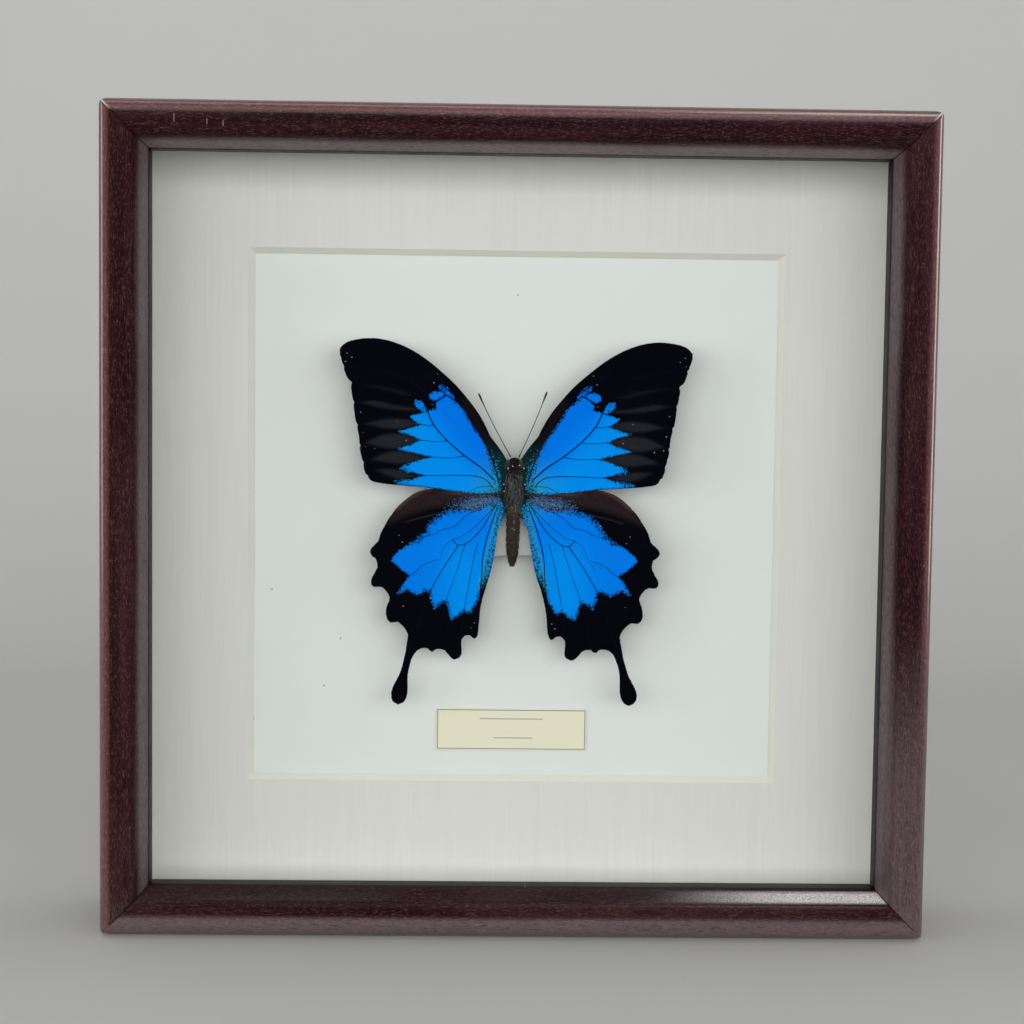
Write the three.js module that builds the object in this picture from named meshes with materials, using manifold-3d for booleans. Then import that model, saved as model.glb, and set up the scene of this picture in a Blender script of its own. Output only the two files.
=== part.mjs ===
import * as THREE from "three";
import { mergeVertices } from "three/addons/utils/BufferGeometryUtils.js";
import Module from "manifold-3d";

// A set butterfly in a square glazed box frame that stands on its bottom rail.
// Lengths are in millimetres: X runs along the width, Y from the front to the back, and Z up.
// The origin is under the middle of the bottom rail, and left and right are as seen from the front.

const wasm = await Module();
wasm.setup();

// Driving dimensions

const CLEARANCE = 0.25; // between pieces that touch
const FRAME_SIZE = 250; // outer width and height
const RAIL_WIDTH = 14.3; // outer edge to sight edge
const REBATE_WALL = 7.2; // wood left outside the rebate
const CORNER_RADIUS = 3.2; // sanded outer corners
const CREST_Y = -24; // foremost line of the moulding
const LIP_Y = -15.3; // front of the sight edge
const LIP_THICKNESS = 5.8;
const RAIL_BACK_Y = 22.5;
const GLASS_THICKNESS = 2;
const SPACER_THICKNESS = 1.6;
const MAT_Y = 12.2; // front face of the window mat
const MAT_THICKNESS = 1.8;
const WINDOW_SIZE = 167.6; // at the front edge of the bevel
const WINDOW_CENTRE_X = -0.2;
const MOUNT_BOARD_THICKNESS = 3;
const BACK_PANEL_THICKNESS = 2.5;
const LABEL_SIZE = [47.6, 0.35, 13.2];
const LABEL_CENTRE = [-0.45, 57.6]; // X and Z

// Moulding section: distance in from the outer face, and distance behind the crest
const SIDE_TOP = [0, 5.2];
const SIDE_BEND = [0.3, 2.1];
const SHOULDER = [2.6, 1];
const BROW = [9.6, 0.9];
const BROW_BEND = [10.4, 1.3];
const SLOPE_TOP = [11.1, 2.6];
const LIP_ROUNDING = [0.5, 0.9, 0.6]; // across the lip, up the slope and down the sight edge

// Flat points that hold the back panel, two in each rail
const RETAINER_SPOTS = [-62, 62];
const RETAINER_WIDTH = 8;
const RETAINER_THICKNESS = 0.4;
const RETAINER_BITE = 4; // how far its point goes into the wood
const RETAINER_REACH = 8.5; // how far it lies over the panel
const RETAINER_ROUNDING = 1.5;

// Toothed hanger: its middle stands off the wood, so that a hook can pass behind the teeth
const HANGER_THICKNESS = 0.6;
const HANGER_HEIGHT = 8;
const HANGER_TAB_HEIGHT = 5;
const HANGER_HALF_LENGTH = 22;
const HANGER_BEND = [15, 13.5]; // where it leaves the wood and where it stands off, from its middle
const HANGER_ABOVE_NAILS = 2.5;
const TOOTH_SIZE = [2.6, 1.95]; // width and depth of a notch
const TOOTH_PITCH = 3;
const TOOTH_ROW = 12; // the outermost notches, from the middle
const NAIL_SPOTS = [-18, 18];
const NAIL_LENGTH = 12;
const NAIL_POINT = 1.8;
const NAIL_SHANK_RADIUS = 0.6;
const NAIL_HEAD_RADIUS = 1.5;
const NAIL_HEAD_THICKNESS = 0.4;

// Specimen
const THORAX_CENTRE = [-0.8, 4, 136];
const SPECIMEN_LEAN = 0.74; // degrees clockwise
const BODY_DEPTH = 1.13; // over its width
const EYE_RADII = [1.4, 1.7, 1.78];
const EYE_SPOT = [2.05, -0.3, 6.2]; // the right eye, from the middle of the thorax
const ANTENNA_LENGTH = 22;
const ANTENNA_FOOT = [1.3, -0.6, 8.8];
const ANTENNA_SPREAD = { left: 28.3, right: 21.8 }; // degrees from the body's line
const WING_RISE = 2; // degrees that the wing tips stand forward
const WING_THICKNESS = 0.3;
const FOREWING_Y = -0.6; // from the middle of the thorax
const HINDWING_Y = 0.3;

// How the left wings differ from a mirror image: degrees anticlockwise, width and a move
const LEFT_FOREWING_SET = { turn: 1.1, width: 0.99, x: -0.45, z: -0.1 };
const LEFT_HINDWING_SET = { turn: 2.4, width: 0.97, x: -0.6, z: 0.3 };

// Block that carries the body
const BLOCK_SIZE = [16, 28]; // width and height
const BLOCK_CENTRE = [-0.9, 127.6];
const BLOCK_TURN = 2; // degrees anticlockwise
const BLOCK_BEHIND_THORAX = 3.6; // its front face, from the middle of the thorax

// Worked out from them

const HALF = FRAME_SIZE / 2;
const LIP_BACK_Y = LIP_Y + LIP_THICKNESS;
const INSERT_SIZE = FRAME_SIZE - 2 * (REBATE_WALL + CLEARANCE);
const GLASS_Y = LIP_BACK_Y + CLEARANCE;
const SPACER_Y = GLASS_Y + GLASS_THICKNESS + CLEARANCE;
const MOUNT_BOARD_Y = MAT_Y + MAT_THICKNESS + CLEARANCE;
const BACK_PANEL_Y = MOUNT_BOARD_Y + MOUNT_BOARD_THICKNESS + CLEARANCE;
const RETAINER_Y = BACK_PANEL_Y + BACK_PANEL_THICKNESS + CLEARANCE;
const HANGER_Y = RAIL_BACK_Y + CLEARANCE;
const NAIL_HEAD_Y = -CREST_Y; // the frame is as deep behind as in front
const NAIL_Z = FRAME_SIZE - REBATE_WALL / 2;

// Finishes

const finish = (color, roughness, metalness = 0) =>
  new THREE.MeshStandardMaterial({ color, roughness, metalness });
const stainedWood = finish(0x3a1a1c, 0.32);
const paleBoard = finish(0xc6c7be, 0.85);
const whiteBoard = finish(0xd2d6d0, 0.8);
const whiteCard = finish(0xcfcfc8, 0.85);
const creamCard = finish(0xd4d2ba, 0.8);
const whiteFoam = finish(0xdcdcd6, 0.9);
const hardboard = finish(0x6b4a33, 0.75);
const zincSteel = finish(0xa9abad, 0.4, 1);
const blueWing = finish(0x0f6fe0, 0.5);
const bodyBrown = finish(0x3f3a30, 0.8);
const antennaBlack = finish(0x14110f, 0.6);
const clearGlass = finish(0xf4f8f7, 0.03);
clearGlass.transparent = true;
clearGlass.opacity = 0.15;

// Joining and cutting

function solidOf(geometry) {
  const bare = geometry.clone();
  bare.deleteAttribute("normal");
  bare.deleteAttribute("uv");
  const merged = mergeVertices(bare, 1e-4);
  const mesh = new wasm.Mesh({
    numProp: 3,
    vertProperties: merged.getAttribute("position").array,
    triVerts: new Uint32Array(merged.index.array),
  });
  return new wasm.Manifold(mesh);
}

function geometryOf(solid) {
  const mesh = solid.getMesh();
  const geometry = new THREE.BufferGeometry();
  geometry.setAttribute("position", new THREE.BufferAttribute(mesh.vertProperties, 3));
  geometry.setIndex(new THREE.BufferAttribute(mesh.triVerts, 1));
  return geometry;
}

// A box whose lowest corner in Y is y, centred on x and z
function slab(width, depth, height, x, y, z) {
  return new THREE.BoxGeometry(width, depth, height).translate(x, y + depth / 2, z);
}

// A flat shape, drawn with its Y as the part's Z, with its front face at y
function plate(shape, thickness, y, curveSegments = 6) {
  const options = { depth: thickness, bevelEnabled: false, curveSegments };
  return new THREE.ExtrudeGeometry(shape, options).rotateX(Math.PI / 2).translate(0, y + thickness, 0);
}

const specimen = new THREE.Group();
const part = new THREE.Group();
part.add(specimen);

function add(name, geometry, material, parent = part) {
  const mesh = new THREE.Mesh(geometry, material);
  mesh.name = name;
  parent.add(mesh);
  return mesh;
}

// Moulding: the section runs from the outer face, at inset 0, to the sight edge

function railSection() {
  const at = ([inset, behind]) => [inset, CREST_Y + behind];
  const crown = [(SHOULDER[0] + BROW[0]) / 2, -(SHOULDER[1] + BROW[1]) / 2];
  const [across, upSlope, downEdge] = LIP_ROUNDING;
  const section = new THREE.Shape();
  section.moveTo(0, RAIL_BACK_Y);
  section.lineTo(...at(SIDE_TOP));
  section.quadraticCurveTo(...at(SIDE_BEND), ...at(SHOULDER));
  section.quadraticCurveTo(...at(crown), ...at(BROW));
  section.quadraticCurveTo(...at(BROW_BEND), ...at(SLOPE_TOP));
  section.lineTo(RAIL_WIDTH - across, LIP_Y - upSlope);
  section.quadraticCurveTo(RAIL_WIDTH, LIP_Y, RAIL_WIDTH, LIP_Y + downEdge);
  section.lineTo(RAIL_WIDTH, LIP_BACK_Y);
  section.lineTo(REBATE_WALL, LIP_BACK_Y);
  section.lineTo(REBATE_WALL, RAIL_BACK_Y);
  return section.extractPoints(6).shape;
}

// The bottom rail about the middle of the frame, cut to a mitre at both ends
function mitredRail() {
  const section = railSection();
  if (THREE.ShapeUtils.isClockWise(section)) section.reverse();
  const count = section.length;
  const mitreGap = CLEARANCE / Math.SQRT2;
  const corner = (side) =>
    section.flatMap(({ x: inset, y }) => [side * (HALF - inset - mitreGap), y, inset - HALF]);
  const faces = [];
  for (const [a, b, c] of THREE.ShapeUtils.triangulateShape(section, [])) {
    faces.push(a, b, c);
    faces.push(count + a, count + c, count + b);
  }
  for (let i = 0; i < count; i++) {
    const next = (i + 1) % count;
    faces.push(i, count + i, count + next);
    faces.push(i, count + next, next);
  }
  const geometry = new THREE.BufferGeometry();
  geometry.setAttribute("position", new THREE.Float32BufferAttribute([...corner(-1), ...corner(1)], 3));
  geometry.setIndex(faces);
  return geometry;
}

function roundedSquare(size, radius) {
  const half = size / 2;
  const shape = new THREE.Shape();
  shape.moveTo(half, radius - half);
  shape.absarc(half - radius, half - radius, radius, 0, Math.PI / 2);
  shape.absarc(radius - half, half - radius, radius, Math.PI / 2, Math.PI);
  shape.absarc(radius - half, radius - half, radius, Math.PI, 1.5 * Math.PI);
  shape.absarc(half - radius, radius - half, radius, 1.5 * Math.PI, 2 * Math.PI);
  return shape;
}

function railWithSlots() {
  const envelopeDepth = 3 * RAIL_BACK_Y;
  const envelope = plate(roundedSquare(FRAME_SIZE, CORNER_RADIUS), envelopeDepth, -envelopeDepth / 2);
  let rail = solidOf(mitredRail()).intersect(solidOf(envelope));
  const width = RETAINER_WIDTH + 2 * CLEARANCE;
  const depth = RETAINER_THICKNESS + 2 * CLEARANCE;
  const bite = 2 * (RETAINER_BITE + CLEARANCE);
  for (const x of RETAINER_SPOTS) {
    const slot = slab(width, depth, bite, x, RETAINER_Y - CLEARANCE, REBATE_WALL - HALF);
    rail = rail.subtract(solidOf(slot));
  }
  return rail;
}

// A hole for a nail's shank, along Y and through y
function nailHole(length, x, y, z) {
  const radius = NAIL_SHANK_RADIUS + CLEARANCE;
  return solidOf(new THREE.CylinderGeometry(radius, radius, length, 12).translate(x, y, z));
}

// One small pointed tab, drawn on the bottom rail: its broad end lies on the back panel
function retainer(x) {
  const half = RETAINER_WIDTH / 2;
  const foot = REBATE_WALL - HALF;
  const top = foot + RETAINER_REACH;
  const shape = new THREE.Shape();
  shape.moveTo(x, foot - RETAINER_BITE);
  shape.lineTo(x + half, foot - RETAINER_BITE / 2);
  shape.lineTo(x + half, top - RETAINER_ROUNDING);
  shape.quadraticCurveTo(x + half, top, x + half - RETAINER_ROUNDING, top);
  shape.lineTo(x - half + RETAINER_ROUNDING, top);
  shape.quadraticCurveTo(x - half, top, x - half, top - RETAINER_ROUNDING);
  shape.lineTo(x - half, foot - RETAINER_BITE / 2);
  return plate(shape, RETAINER_THICKNESS, RETAINER_Y, 3);
}

function buildFrame() {
  const rail = railWithSlots();
  let drilled = rail; // drawn as a bottom rail, and turned to the top
  for (const x of NAIL_SPOTS) {
    drilled = drilled.subtract(nailHole(2 * (NAIL_LENGTH + 1), x, RAIL_BACK_Y, HALF - NAIL_Z));
  }
  const sides = ["bottom", "left", "top", "right"];
  sides.forEach((side, turn) => {
    const about = new THREE.Group();
    about.position.z = HALF;
    about.rotation.y = (turn * Math.PI) / 2;
    part.add(about);
    add("rail_" + side, geometryOf(side === "top" ? drilled : rail), stainedWood, about);
    RETAINER_SPOTS.forEach((x, i) => {
      add("retainer_" + side + "_" + (i + 1), retainer(x), zincSteel, about);
    });
    const spacerDepth = MAT_Y - CLEARANCE - SPACER_Y;
    const between = turn % 2 ? 2 * (SPACER_THICKNESS + CLEARANCE) : 0;
    const edge = INSERT_SIZE / 2 - SPACER_THICKNESS / 2;
    const strip = slab(INSERT_SIZE - between, spacerDepth, SPACER_THICKNESS, 0, SPACER_Y, -edge);
    add("spacer_" + side, strip, whiteCard, about);
  });
}

// Flat pieces in the rebate

function buildInserts() {
  const size = INSERT_SIZE;
  add("glass_pane", slab(size, GLASS_THICKNESS, size, 0, GLASS_Y, HALF), clearGlass);
  add("mount_board", slab(size, MOUNT_BOARD_THICKNESS, size, 0, MOUNT_BOARD_Y, HALF), whiteBoard);
  add("back_panel", slab(size, BACK_PANEL_THICKNESS, size, 0, BACK_PANEL_Y, HALF), hardboard);
  const labelY = MOUNT_BOARD_Y - CLEARANCE - LABEL_SIZE[1];
  add("label_card", slab(...LABEL_SIZE, LABEL_CENTRE[0], labelY, LABEL_CENTRE[1]), creamCard);
  add("window_mat", geometryOf(windowMat(size)), paleBoard);
}

// The window narrows towards the back, so its 45 degree edge faces the front
function windowMat(size) {
  const margin = 1; // the cutter stands out this far in front and behind
  const cutter = new THREE.BoxGeometry(1, 1, 1);
  const position = cutter.getAttribute("position");
  for (let i = 0; i < position.count; i++) {
    const atBack = position.getY(i) > 0;
    const half = WINDOW_SIZE / 2 + (atBack ? -MAT_THICKNESS - margin : margin);
    const x = WINDOW_CENTRE_X + Math.sign(position.getX(i)) * half;
    const y = atBack ? MAT_Y + MAT_THICKNESS + margin : MAT_Y - margin;
    position.setXYZ(i, x, y, HALF + Math.sign(position.getZ(i)) * half);
  }
  const sheet = slab(size, MAT_THICKNESS, size, 0, MAT_Y, HALF);
  return solidOf(sheet).subtract(solidOf(cutter));
}

// Hanger and its nails

function hangerPlate() {
  const [leaves, proud] = HANGER_BEND;
  const top = NAIL_Z + HANGER_ABOVE_NAILS;
  const bottom = top - HANGER_HEIGHT;
  const proudY = NAIL_HEAD_Y - HANGER_THICKNESS;
  const side = [[HANGER_HALF_LENGTH, HANGER_Y], [leaves, HANGER_Y], [proud, proudY]];
  const front = [...side, ...side.map(([x, y]) => [-x, y]).reverse()];
  const back = front.map(([x, y]) => [x, y + HANGER_THICKNESS]).reverse();
  const outline = new THREE.Shape([...front, ...back].map(([x, y]) => new THREE.Vector2(x, y)));
  const options = { depth: HANGER_HEIGHT, bevelEnabled: false };
  let plateSolid = solidOf(new THREE.ExtrudeGeometry(outline, options).translate(0, 0, bottom));
  const tabLength = HANGER_HALF_LENGTH - proud;
  const tabCut = 2 * (HANGER_HEIGHT - HANGER_TAB_HEIGHT);
  for (const side of [-1, 1]) {
    const x = side * (HANGER_HALF_LENGTH + proud + 1) / 2;
    const cut = slab(tabLength + 1, 4 * HANGER_THICKNESS, tabCut, x, RAIL_BACK_Y, bottom);
    plateSolid = plateSolid.subtract(solidOf(cut));
  }
  const [toothWidth, toothDepth] = TOOTH_SIZE;
  for (let x = -TOOTH_ROW; x <= TOOTH_ROW; x += TOOTH_PITCH) {
    const notch = new THREE.CylinderGeometry(1, 1, 10 * HANGER_THICKNESS, 4);
    notch.scale(toothWidth / 2, 1, toothDepth).translate(x, proudY, bottom);
    plateSolid = plateSolid.subtract(solidOf(notch));
  }
  for (const x of NAIL_SPOTS) {
    plateSolid = plateSolid.subtract(nailHole(10 * HANGER_THICKNESS, x, HANGER_Y, NAIL_Z));
  }
  return geometryOf(plateSolid);
}

function nail() {
  const headFrontY = NAIL_HEAD_Y - NAIL_HEAD_THICKNESS;
  const tipY = RAIL_BACK_Y - NAIL_LENGTH;
  const edge = NAIL_HEAD_THICKNESS / 4;
  const shank = [[0, tipY], [NAIL_SHANK_RADIUS, tipY + NAIL_POINT], [NAIL_SHANK_RADIUS, headFrontY]];
  const head = [
    [NAIL_HEAD_RADIUS, headFrontY], [NAIL_HEAD_RADIUS, NAIL_HEAD_Y - edge],
    [NAIL_HEAD_RADIUS - 3 * edge, NAIL_HEAD_Y], [0, NAIL_HEAD_Y],
  ];
  return lathe([...shank, ...head], 12);
}

function buildHanger() {
  add("hanger_plate", hangerPlate(), zincSteel);
  for (const x of NAIL_SPOTS) {
    add(x < 0 ? "nail_left" : "nail_right", nail(), zincSteel).position.set(x, 0, NAIL_Z);
  }
}

// The butterfly, about the middle of its thorax. Outlines are of the right wings, outwards and upwards

const FOREWING_EDGE = [
  [3.4, 3.2], [4.7, 9.2], [7.6, 16.4], [10.6, 22], [13.9, 26.4], [17.8, 30.9], [22.3, 35],
  [26.6, 38.5], [31.4, 41.6], [36.9, 44], [42.4, 45.2], [47.6, 45.1], [52, 43.9], [54.1, 41.8],
  [53.6, 38.6], [52.7, 35.5], [51.8, 33.1], [50.7, 31.7], [50.6, 29.6], [49.9, 25.5], [49.2, 20],
  [48.2, 15.7], [47.9, 11.6], [47.1, 7.7], [46.2, 3.8], [44.5, 1.5], [42, 0.7], [36.4, 0],
  [31.1, -0.4], [25.2, -0.9], [19.6, -1.7], [13.4, -2.4], [6.3, -2.3], [3.7, -0.4],
];

const HINDWING_EDGE = [
  [3.8, -5.2], [8.2, -3.3], [14.4, -1.9], [20.6, -0.9], [26.4, -0.9], [31, -2.1], [35.1, -4.8],
  [38.3, -8.1], [40.8, -11.7], [42.4, -14.6], [43.2, -16.8], [45.3, -18.8], [45.9, -20.2],
  [45.2, -21.6], [44.1, -22.4], [43.7, -25.1], [45.4, -28.2], [45.8, -29.9], [44.9, -31.2],
  [42.4, -31.3], [40, -34.4], [40.9, -37.3], [41.2, -40.4], [39.8, -42.4], [37.4, -42.4],
  [34.5, -45.9], [34.8, -49.4], [35.9, -54.4], [37.4, -58.8], [39.3, -62.3], [40.1, -64.8],
  [39.6, -67.1], [37.7, -68.2], [35.7, -67.1], [34.7, -64.2], [34.5, -59.3], [33.5, -55],
  [32.1, -52.2], [30.3, -50.9], [28.1, -50.9], [26.8, -52], [25.1, -51.1], [22.8, -51.5],
  [21.3, -53.2], [19.6, -54.5], [17.6, -53.7], [17, -52.2], [17.1, -48.6], [15.8, -47.1],
  [14.4, -47.2], [12.9, -48.2], [11.9, -47.1], [11.4, -44.2], [10.8, -38.9], [9, -32.3],
  [7.4, -27.7], [6.2, -22.7], [4.6, -13.7], [3.8, -9],
];

function wing(edge) {
  const points = edge.map(([out, up]) => new THREE.Vector3(out, up));
  const curve = new THREE.CatmullRomCurve3(points, true, "centripetal");
  const ring = curve.getPoints(2 * points.length).slice(0, -1);
  return plate(new THREE.Shape(ring), WING_THICKNESS, 0);
}

function mirroredInX(geometry) {
  const mirrored = geometry.index ? geometry.toNonIndexed() : geometry.clone();
  mirrored.scale(-1, 1, 1);
  const position = mirrored.getAttribute("position");
  for (let i = 0; i < position.count; i += 3) {
    const [x, y, z] = [position.getX(i), position.getY(i), position.getZ(i)];
    position.setXYZ(i, position.getX(i + 1), position.getY(i + 1), position.getZ(i + 1));
    position.setXYZ(i + 1, x, y, z);
  }
  return mirrored;
}

function lathe(profile, segments) {
  return new THREE.LatheGeometry(profile.map(([r, along]) => new THREE.Vector2(r, along)), segments);
}

// Abdomen, thorax, neck and head as one turned form, with an eye on each side of the head
function butterflyBody() {
  const trunk = [
    [0, -25.4], [0.9, -25], [1.5, -23.8], [1.9, -21.5], [2.15, -18], [2.3, -13.5], [2.25, -9],
    [2.1, -6], [2.55, -4.2], [2.85, -1.5], [2.9, 1], [2.6, 3.4], [2, 4.4], [2.15, 5.4], [2.2, 6.4],
    [1.9, 7.5], [1.1, 8.3], [0, 8.6],
  ];
  let body = solidOf(lathe(trunk, 18).rotateX(Math.PI / 2).scale(1, BODY_DEPTH, 1));
  const [eyeX, eyeY, eyeZ] = EYE_SPOT;
  for (const side of [-1, 1]) {
    const eye = new THREE.SphereGeometry(1, 14, 10).scale(...EYE_RADII);
    body = body.add(solidOf(eye.translate(side * eyeX, eyeY, eyeZ)));
  }
  return geometryOf(body);
}

// A thread that ends in a club
function antenna() {
  const profile = [
    [0, 0], [0.15, 0], [0.12, 0.7], [0.2, 0.82], [0.42, 0.93], [0.36, 0.985], [0, 1],
  ].map(([radius, share]) => [radius, share * ANTENNA_LENGTH]);
  return lathe(profile, 8).rotateX(Math.PI / 2);
}

function buildWings(side, sign) {
  const hinge = new THREE.Group();
  hinge.rotation.z = THREE.MathUtils.degToRad(-sign * WING_RISE);
  specimen.add(hinge);
  for (const [name, edge, y, leftSet] of [
    ["forewing_", FOREWING_EDGE, FOREWING_Y, LEFT_FOREWING_SET],
    ["hindwing_", HINDWING_EDGE, HINDWING_Y, LEFT_HINDWING_SET],
  ]) {
    const flat = wing(edge).translate(0, y, 0);
    const blade = add(name + side, sign > 0 ? flat : mirroredInX(flat), blueWing, hinge);
    if (sign > 0) continue;
    blade.position.set(leftSet.x, 0, leftSet.z);
    blade.rotation.y = -THREE.MathUtils.degToRad(leftSet.turn);
    blade.scale.x = leftSet.width;
  }
}

function buildButterfly() {
  specimen.position.set(...THORAX_CENTRE);
  specimen.rotation.y = THREE.MathUtils.degToRad(SPECIMEN_LEAN);
  add("butterfly_body", butterflyBody(), bodyBrown, specimen);
  const [footX, footY, footZ] = ANTENNA_FOOT;
  for (const [side, sign] of [["left", -1], ["right", 1]]) {
    buildWings(side, sign);
    const stem = add("antenna_" + side, antenna(), antennaBlack, specimen);
    stem.position.set(sign * footX, footY, footZ);
    stem.rotation.y = THREE.MathUtils.degToRad(sign * ANTENNA_SPREAD[side]);
  }
}

// The block fills the space between the thorax and the mount board
function buildBlock() {
  const [width, height] = BLOCK_SIZE;
  const frontY = THORAX_CENTRE[1] + BLOCK_BEHIND_THORAX;
  const block = slab(width, MOUNT_BOARD_Y - CLEARANCE - frontY, height, 0, frontY, 0);
  const support = add("support_block", block, whiteFoam);
  support.position.set(BLOCK_CENTRE[0], 0, BLOCK_CENTRE[1]);
  support.rotation.y = -THREE.MathUtils.degToRad(BLOCK_TURN);
}

buildFrame();
buildInserts();
buildHanger();
buildBlock();
buildButterfly();

export default part;
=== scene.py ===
import math

import bpy
import numpy as np
from mathutils import Matrix, Vector
from mathutils.geometry import delaunay_2d_cdt

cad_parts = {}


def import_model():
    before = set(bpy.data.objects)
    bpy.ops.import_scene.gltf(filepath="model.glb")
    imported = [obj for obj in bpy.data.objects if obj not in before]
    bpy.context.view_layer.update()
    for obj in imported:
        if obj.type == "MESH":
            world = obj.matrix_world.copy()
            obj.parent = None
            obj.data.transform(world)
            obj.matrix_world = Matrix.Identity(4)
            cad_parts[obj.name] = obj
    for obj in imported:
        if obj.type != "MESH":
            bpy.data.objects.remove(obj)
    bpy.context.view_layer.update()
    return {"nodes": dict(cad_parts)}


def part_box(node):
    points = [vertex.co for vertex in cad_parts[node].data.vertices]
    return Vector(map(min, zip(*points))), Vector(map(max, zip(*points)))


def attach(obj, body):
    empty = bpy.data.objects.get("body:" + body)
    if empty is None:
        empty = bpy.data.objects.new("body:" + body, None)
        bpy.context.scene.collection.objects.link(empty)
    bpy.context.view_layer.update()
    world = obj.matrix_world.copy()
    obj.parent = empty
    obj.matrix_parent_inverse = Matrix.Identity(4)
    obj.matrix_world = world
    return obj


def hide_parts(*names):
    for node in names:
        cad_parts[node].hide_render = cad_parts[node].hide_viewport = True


# A blue swallowtail, set with open wings in a glazed box frame that stands on its bottom rail.
# Lengths are in millimetres until a piece is made. X runs along the width, Y to the back and Z up.

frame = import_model()

MM = 0.001
PIECE_SEED = 11
rng = np.random.default_rng(PIECE_SEED)

# Camera

CAMERA_AT = Vector((-16.309, -621.0, 172.048))
CAMERA_YAW, CAMERA_PITCH, CAMERA_ROLL = -0.024, -0.071, -0.013
CAMERA_LENS = 70.83


def set_camera():
    turn = (
        Matrix.Rotation(CAMERA_YAW, 3, "Z")
        @ Matrix.Rotation(CAMERA_PITCH, 3, "X")
        @ Matrix.Rotation(CAMERA_ROLL, 3, "Y")
    )
    right, forward, up = turn.col
    place = Matrix((right, up, -forward)).transposed().to_4x4()
    place.translation = CAMERA_AT * MM
    lens = bpy.data.cameras.new("camera")
    lens.lens = CAMERA_LENS
    lens.clip_start = 0.01
    lens.clip_end = 30.0
    camera = bpy.data.objects.new("camera", lens)
    camera.matrix_world = place
    bpy.context.scene.collection.objects.link(camera)
    bpy.context.scene.camera = camera


set_camera()
bpy.context.scene.view_settings.view_transform = "Standard"


# Finishes


def swatch(red, green, blue):
    """The linear colour of an eight-bit swatch."""
    line = [((v / 255 + 0.055) / 1.055) ** 2.4 if v > 10 else v / 255 / 12.92 for v in (red, green, blue)]
    return (*line, 1.0)


class Wire:
    """One output in a finish's nodes: arithmetic on it adds Math nodes."""

    def __init__(self, finish, socket):
        self.finish = finish
        self.socket = socket

    def math(self, operation, first, second=0.0):
        return self.finish.node("Math", {"operation": operation}, {0: first, 1: second})

    def __add__(self, other):
        return self.math("ADD", self, other)

    __radd__ = __add__

    def __sub__(self, other):
        return self.math("SUBTRACT", self, other)

    def __rsub__(self, other):
        return self.math("SUBTRACT", other, self)

    def __mul__(self, other):
        return self.math("MULTIPLY", self, other)

    __rmul__ = __mul__

    def __pow__(self, other):
        return self.math("POWER", self, other)

    def __abs__(self):
        return self.math("ABSOLUTE", self)

    def over(self, other):
        return self.math("GREATER_THAN", self, other)

    def least(self, other):
        return self.math("MINIMUM", self, other)

    def most(self, other):
        return self.math("MAXIMUM", self, other)

    def sine(self):
        return self.math("SINE", self)

    def rise(self, low, high):
        """0 at low and 1 at high, with soft ends."""
        sockets = {"Value": self, "From Min": low, "From Max": high}
        return self.finish.node("MapRange", {"interpolation_type": "SMOOTHSTEP"}, sockets)


class Finish:
    """A material, with the kinds of node that these finishes are made of."""

    def __init__(self, name, shader):
        self.material = bpy.data.materials.new(name)
        self.material.use_nodes = True
        self.tree = self.material.node_tree
        self.shader = self.tree.nodes["Principled BSDF"]
        for socket, value in shader.items():
            self.shader.inputs[socket].default_value = value

    def node(self, kind, settings, sockets, out=0):
        made = self.tree.nodes.new("ShaderNode" + kind)
        for name, value in settings.items():
            setattr(made, name, value)
        for name, value in sockets.items():
            if isinstance(value, Wire):
                self.tree.links.new(value.socket, made.inputs[name])
            else:
                made.inputs[name].default_value = value
        return Wire(self, made.outputs[out])

    def place(self):
        """Where a point lies, in millimetres."""
        at = self.node("TexCoord", {}, {}, "Object")
        return self.node("VectorMath", {"operation": "SCALE"}, {0: at, "Scale": 1 / MM})

    def part_of(self, place, axis):
        return self.node("SeparateXYZ", {}, {0: place}, axis)

    def stretched(self, place, by):
        return self.node("VectorMath", {"operation": "MULTIPLY"}, {0: place, 1: by})

    def noise(self, place, scale, detail=2.0, roughness=0.5, distortion=0.0):
        sockets = {"Vector": place, "Scale": scale, "Detail": detail}
        return self.node("TexNoise", {}, {**sockets, "Roughness": roughness, "Distortion": distortion})

    def cells(self, place, scale, out="Distance"):
        return self.node("TexVoronoi", {}, {"Vector": place, "Scale": scale}, out)

    def chance(self, place, scale):
        """An even chance from 0 to 1 for each small cell."""
        colour = self.cells(place, scale, "Color")
        return self.node("SeparateColor", {}, {0: colour}, 0)

    def blend(self, share, first, second, how="MIX"):
        settings = {"data_type": "RGBA", "blend_type": how, "clamp_factor": True}
        return self.node("Mix", settings, {0: share, 6: first, 7: second}, 2)

    def layers(self, colour, *coats):
        """A colour under coats of others, each given by its share and its swatch."""
        for share, coat in coats:
            colour = self.blend(share, colour, swatch(*coat))
        return colour

    def shade(self, colour, strength):
        """A colour made lighter or darker by a number that varies."""
        grey = self.node("CombineColor", {}, {0: strength, 1: strength, 2: strength})
        return self.blend(1.0, colour, grey, "MULTIPLY")

    def attribute(self, name):
        return self.node("Attribute", {"attribute_name": name}, {}, "Fac")

    def paint(self, socket, wire):
        self.tree.links.new(wire.socket, self.shader.inputs[socket])

    def emboss(self, height, depth, strength=1.0):
        """Bump of a height from 0 to 1, whose full depth is in millimetres."""
        sockets = {"Height": height, "Distance": depth * MM, "Strength": strength}
        self.paint("Normal", self.node("Bump", {}, sockets))


# Pale nicks in the lacquer: middle X and Z, and height
NICKS = [(-102.2, 244.0, 2.6), (-92.6, 243.0, 1.9), (-87.9, 242.6, 1.9), (3.7, 14.2, 0.5)]


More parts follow.
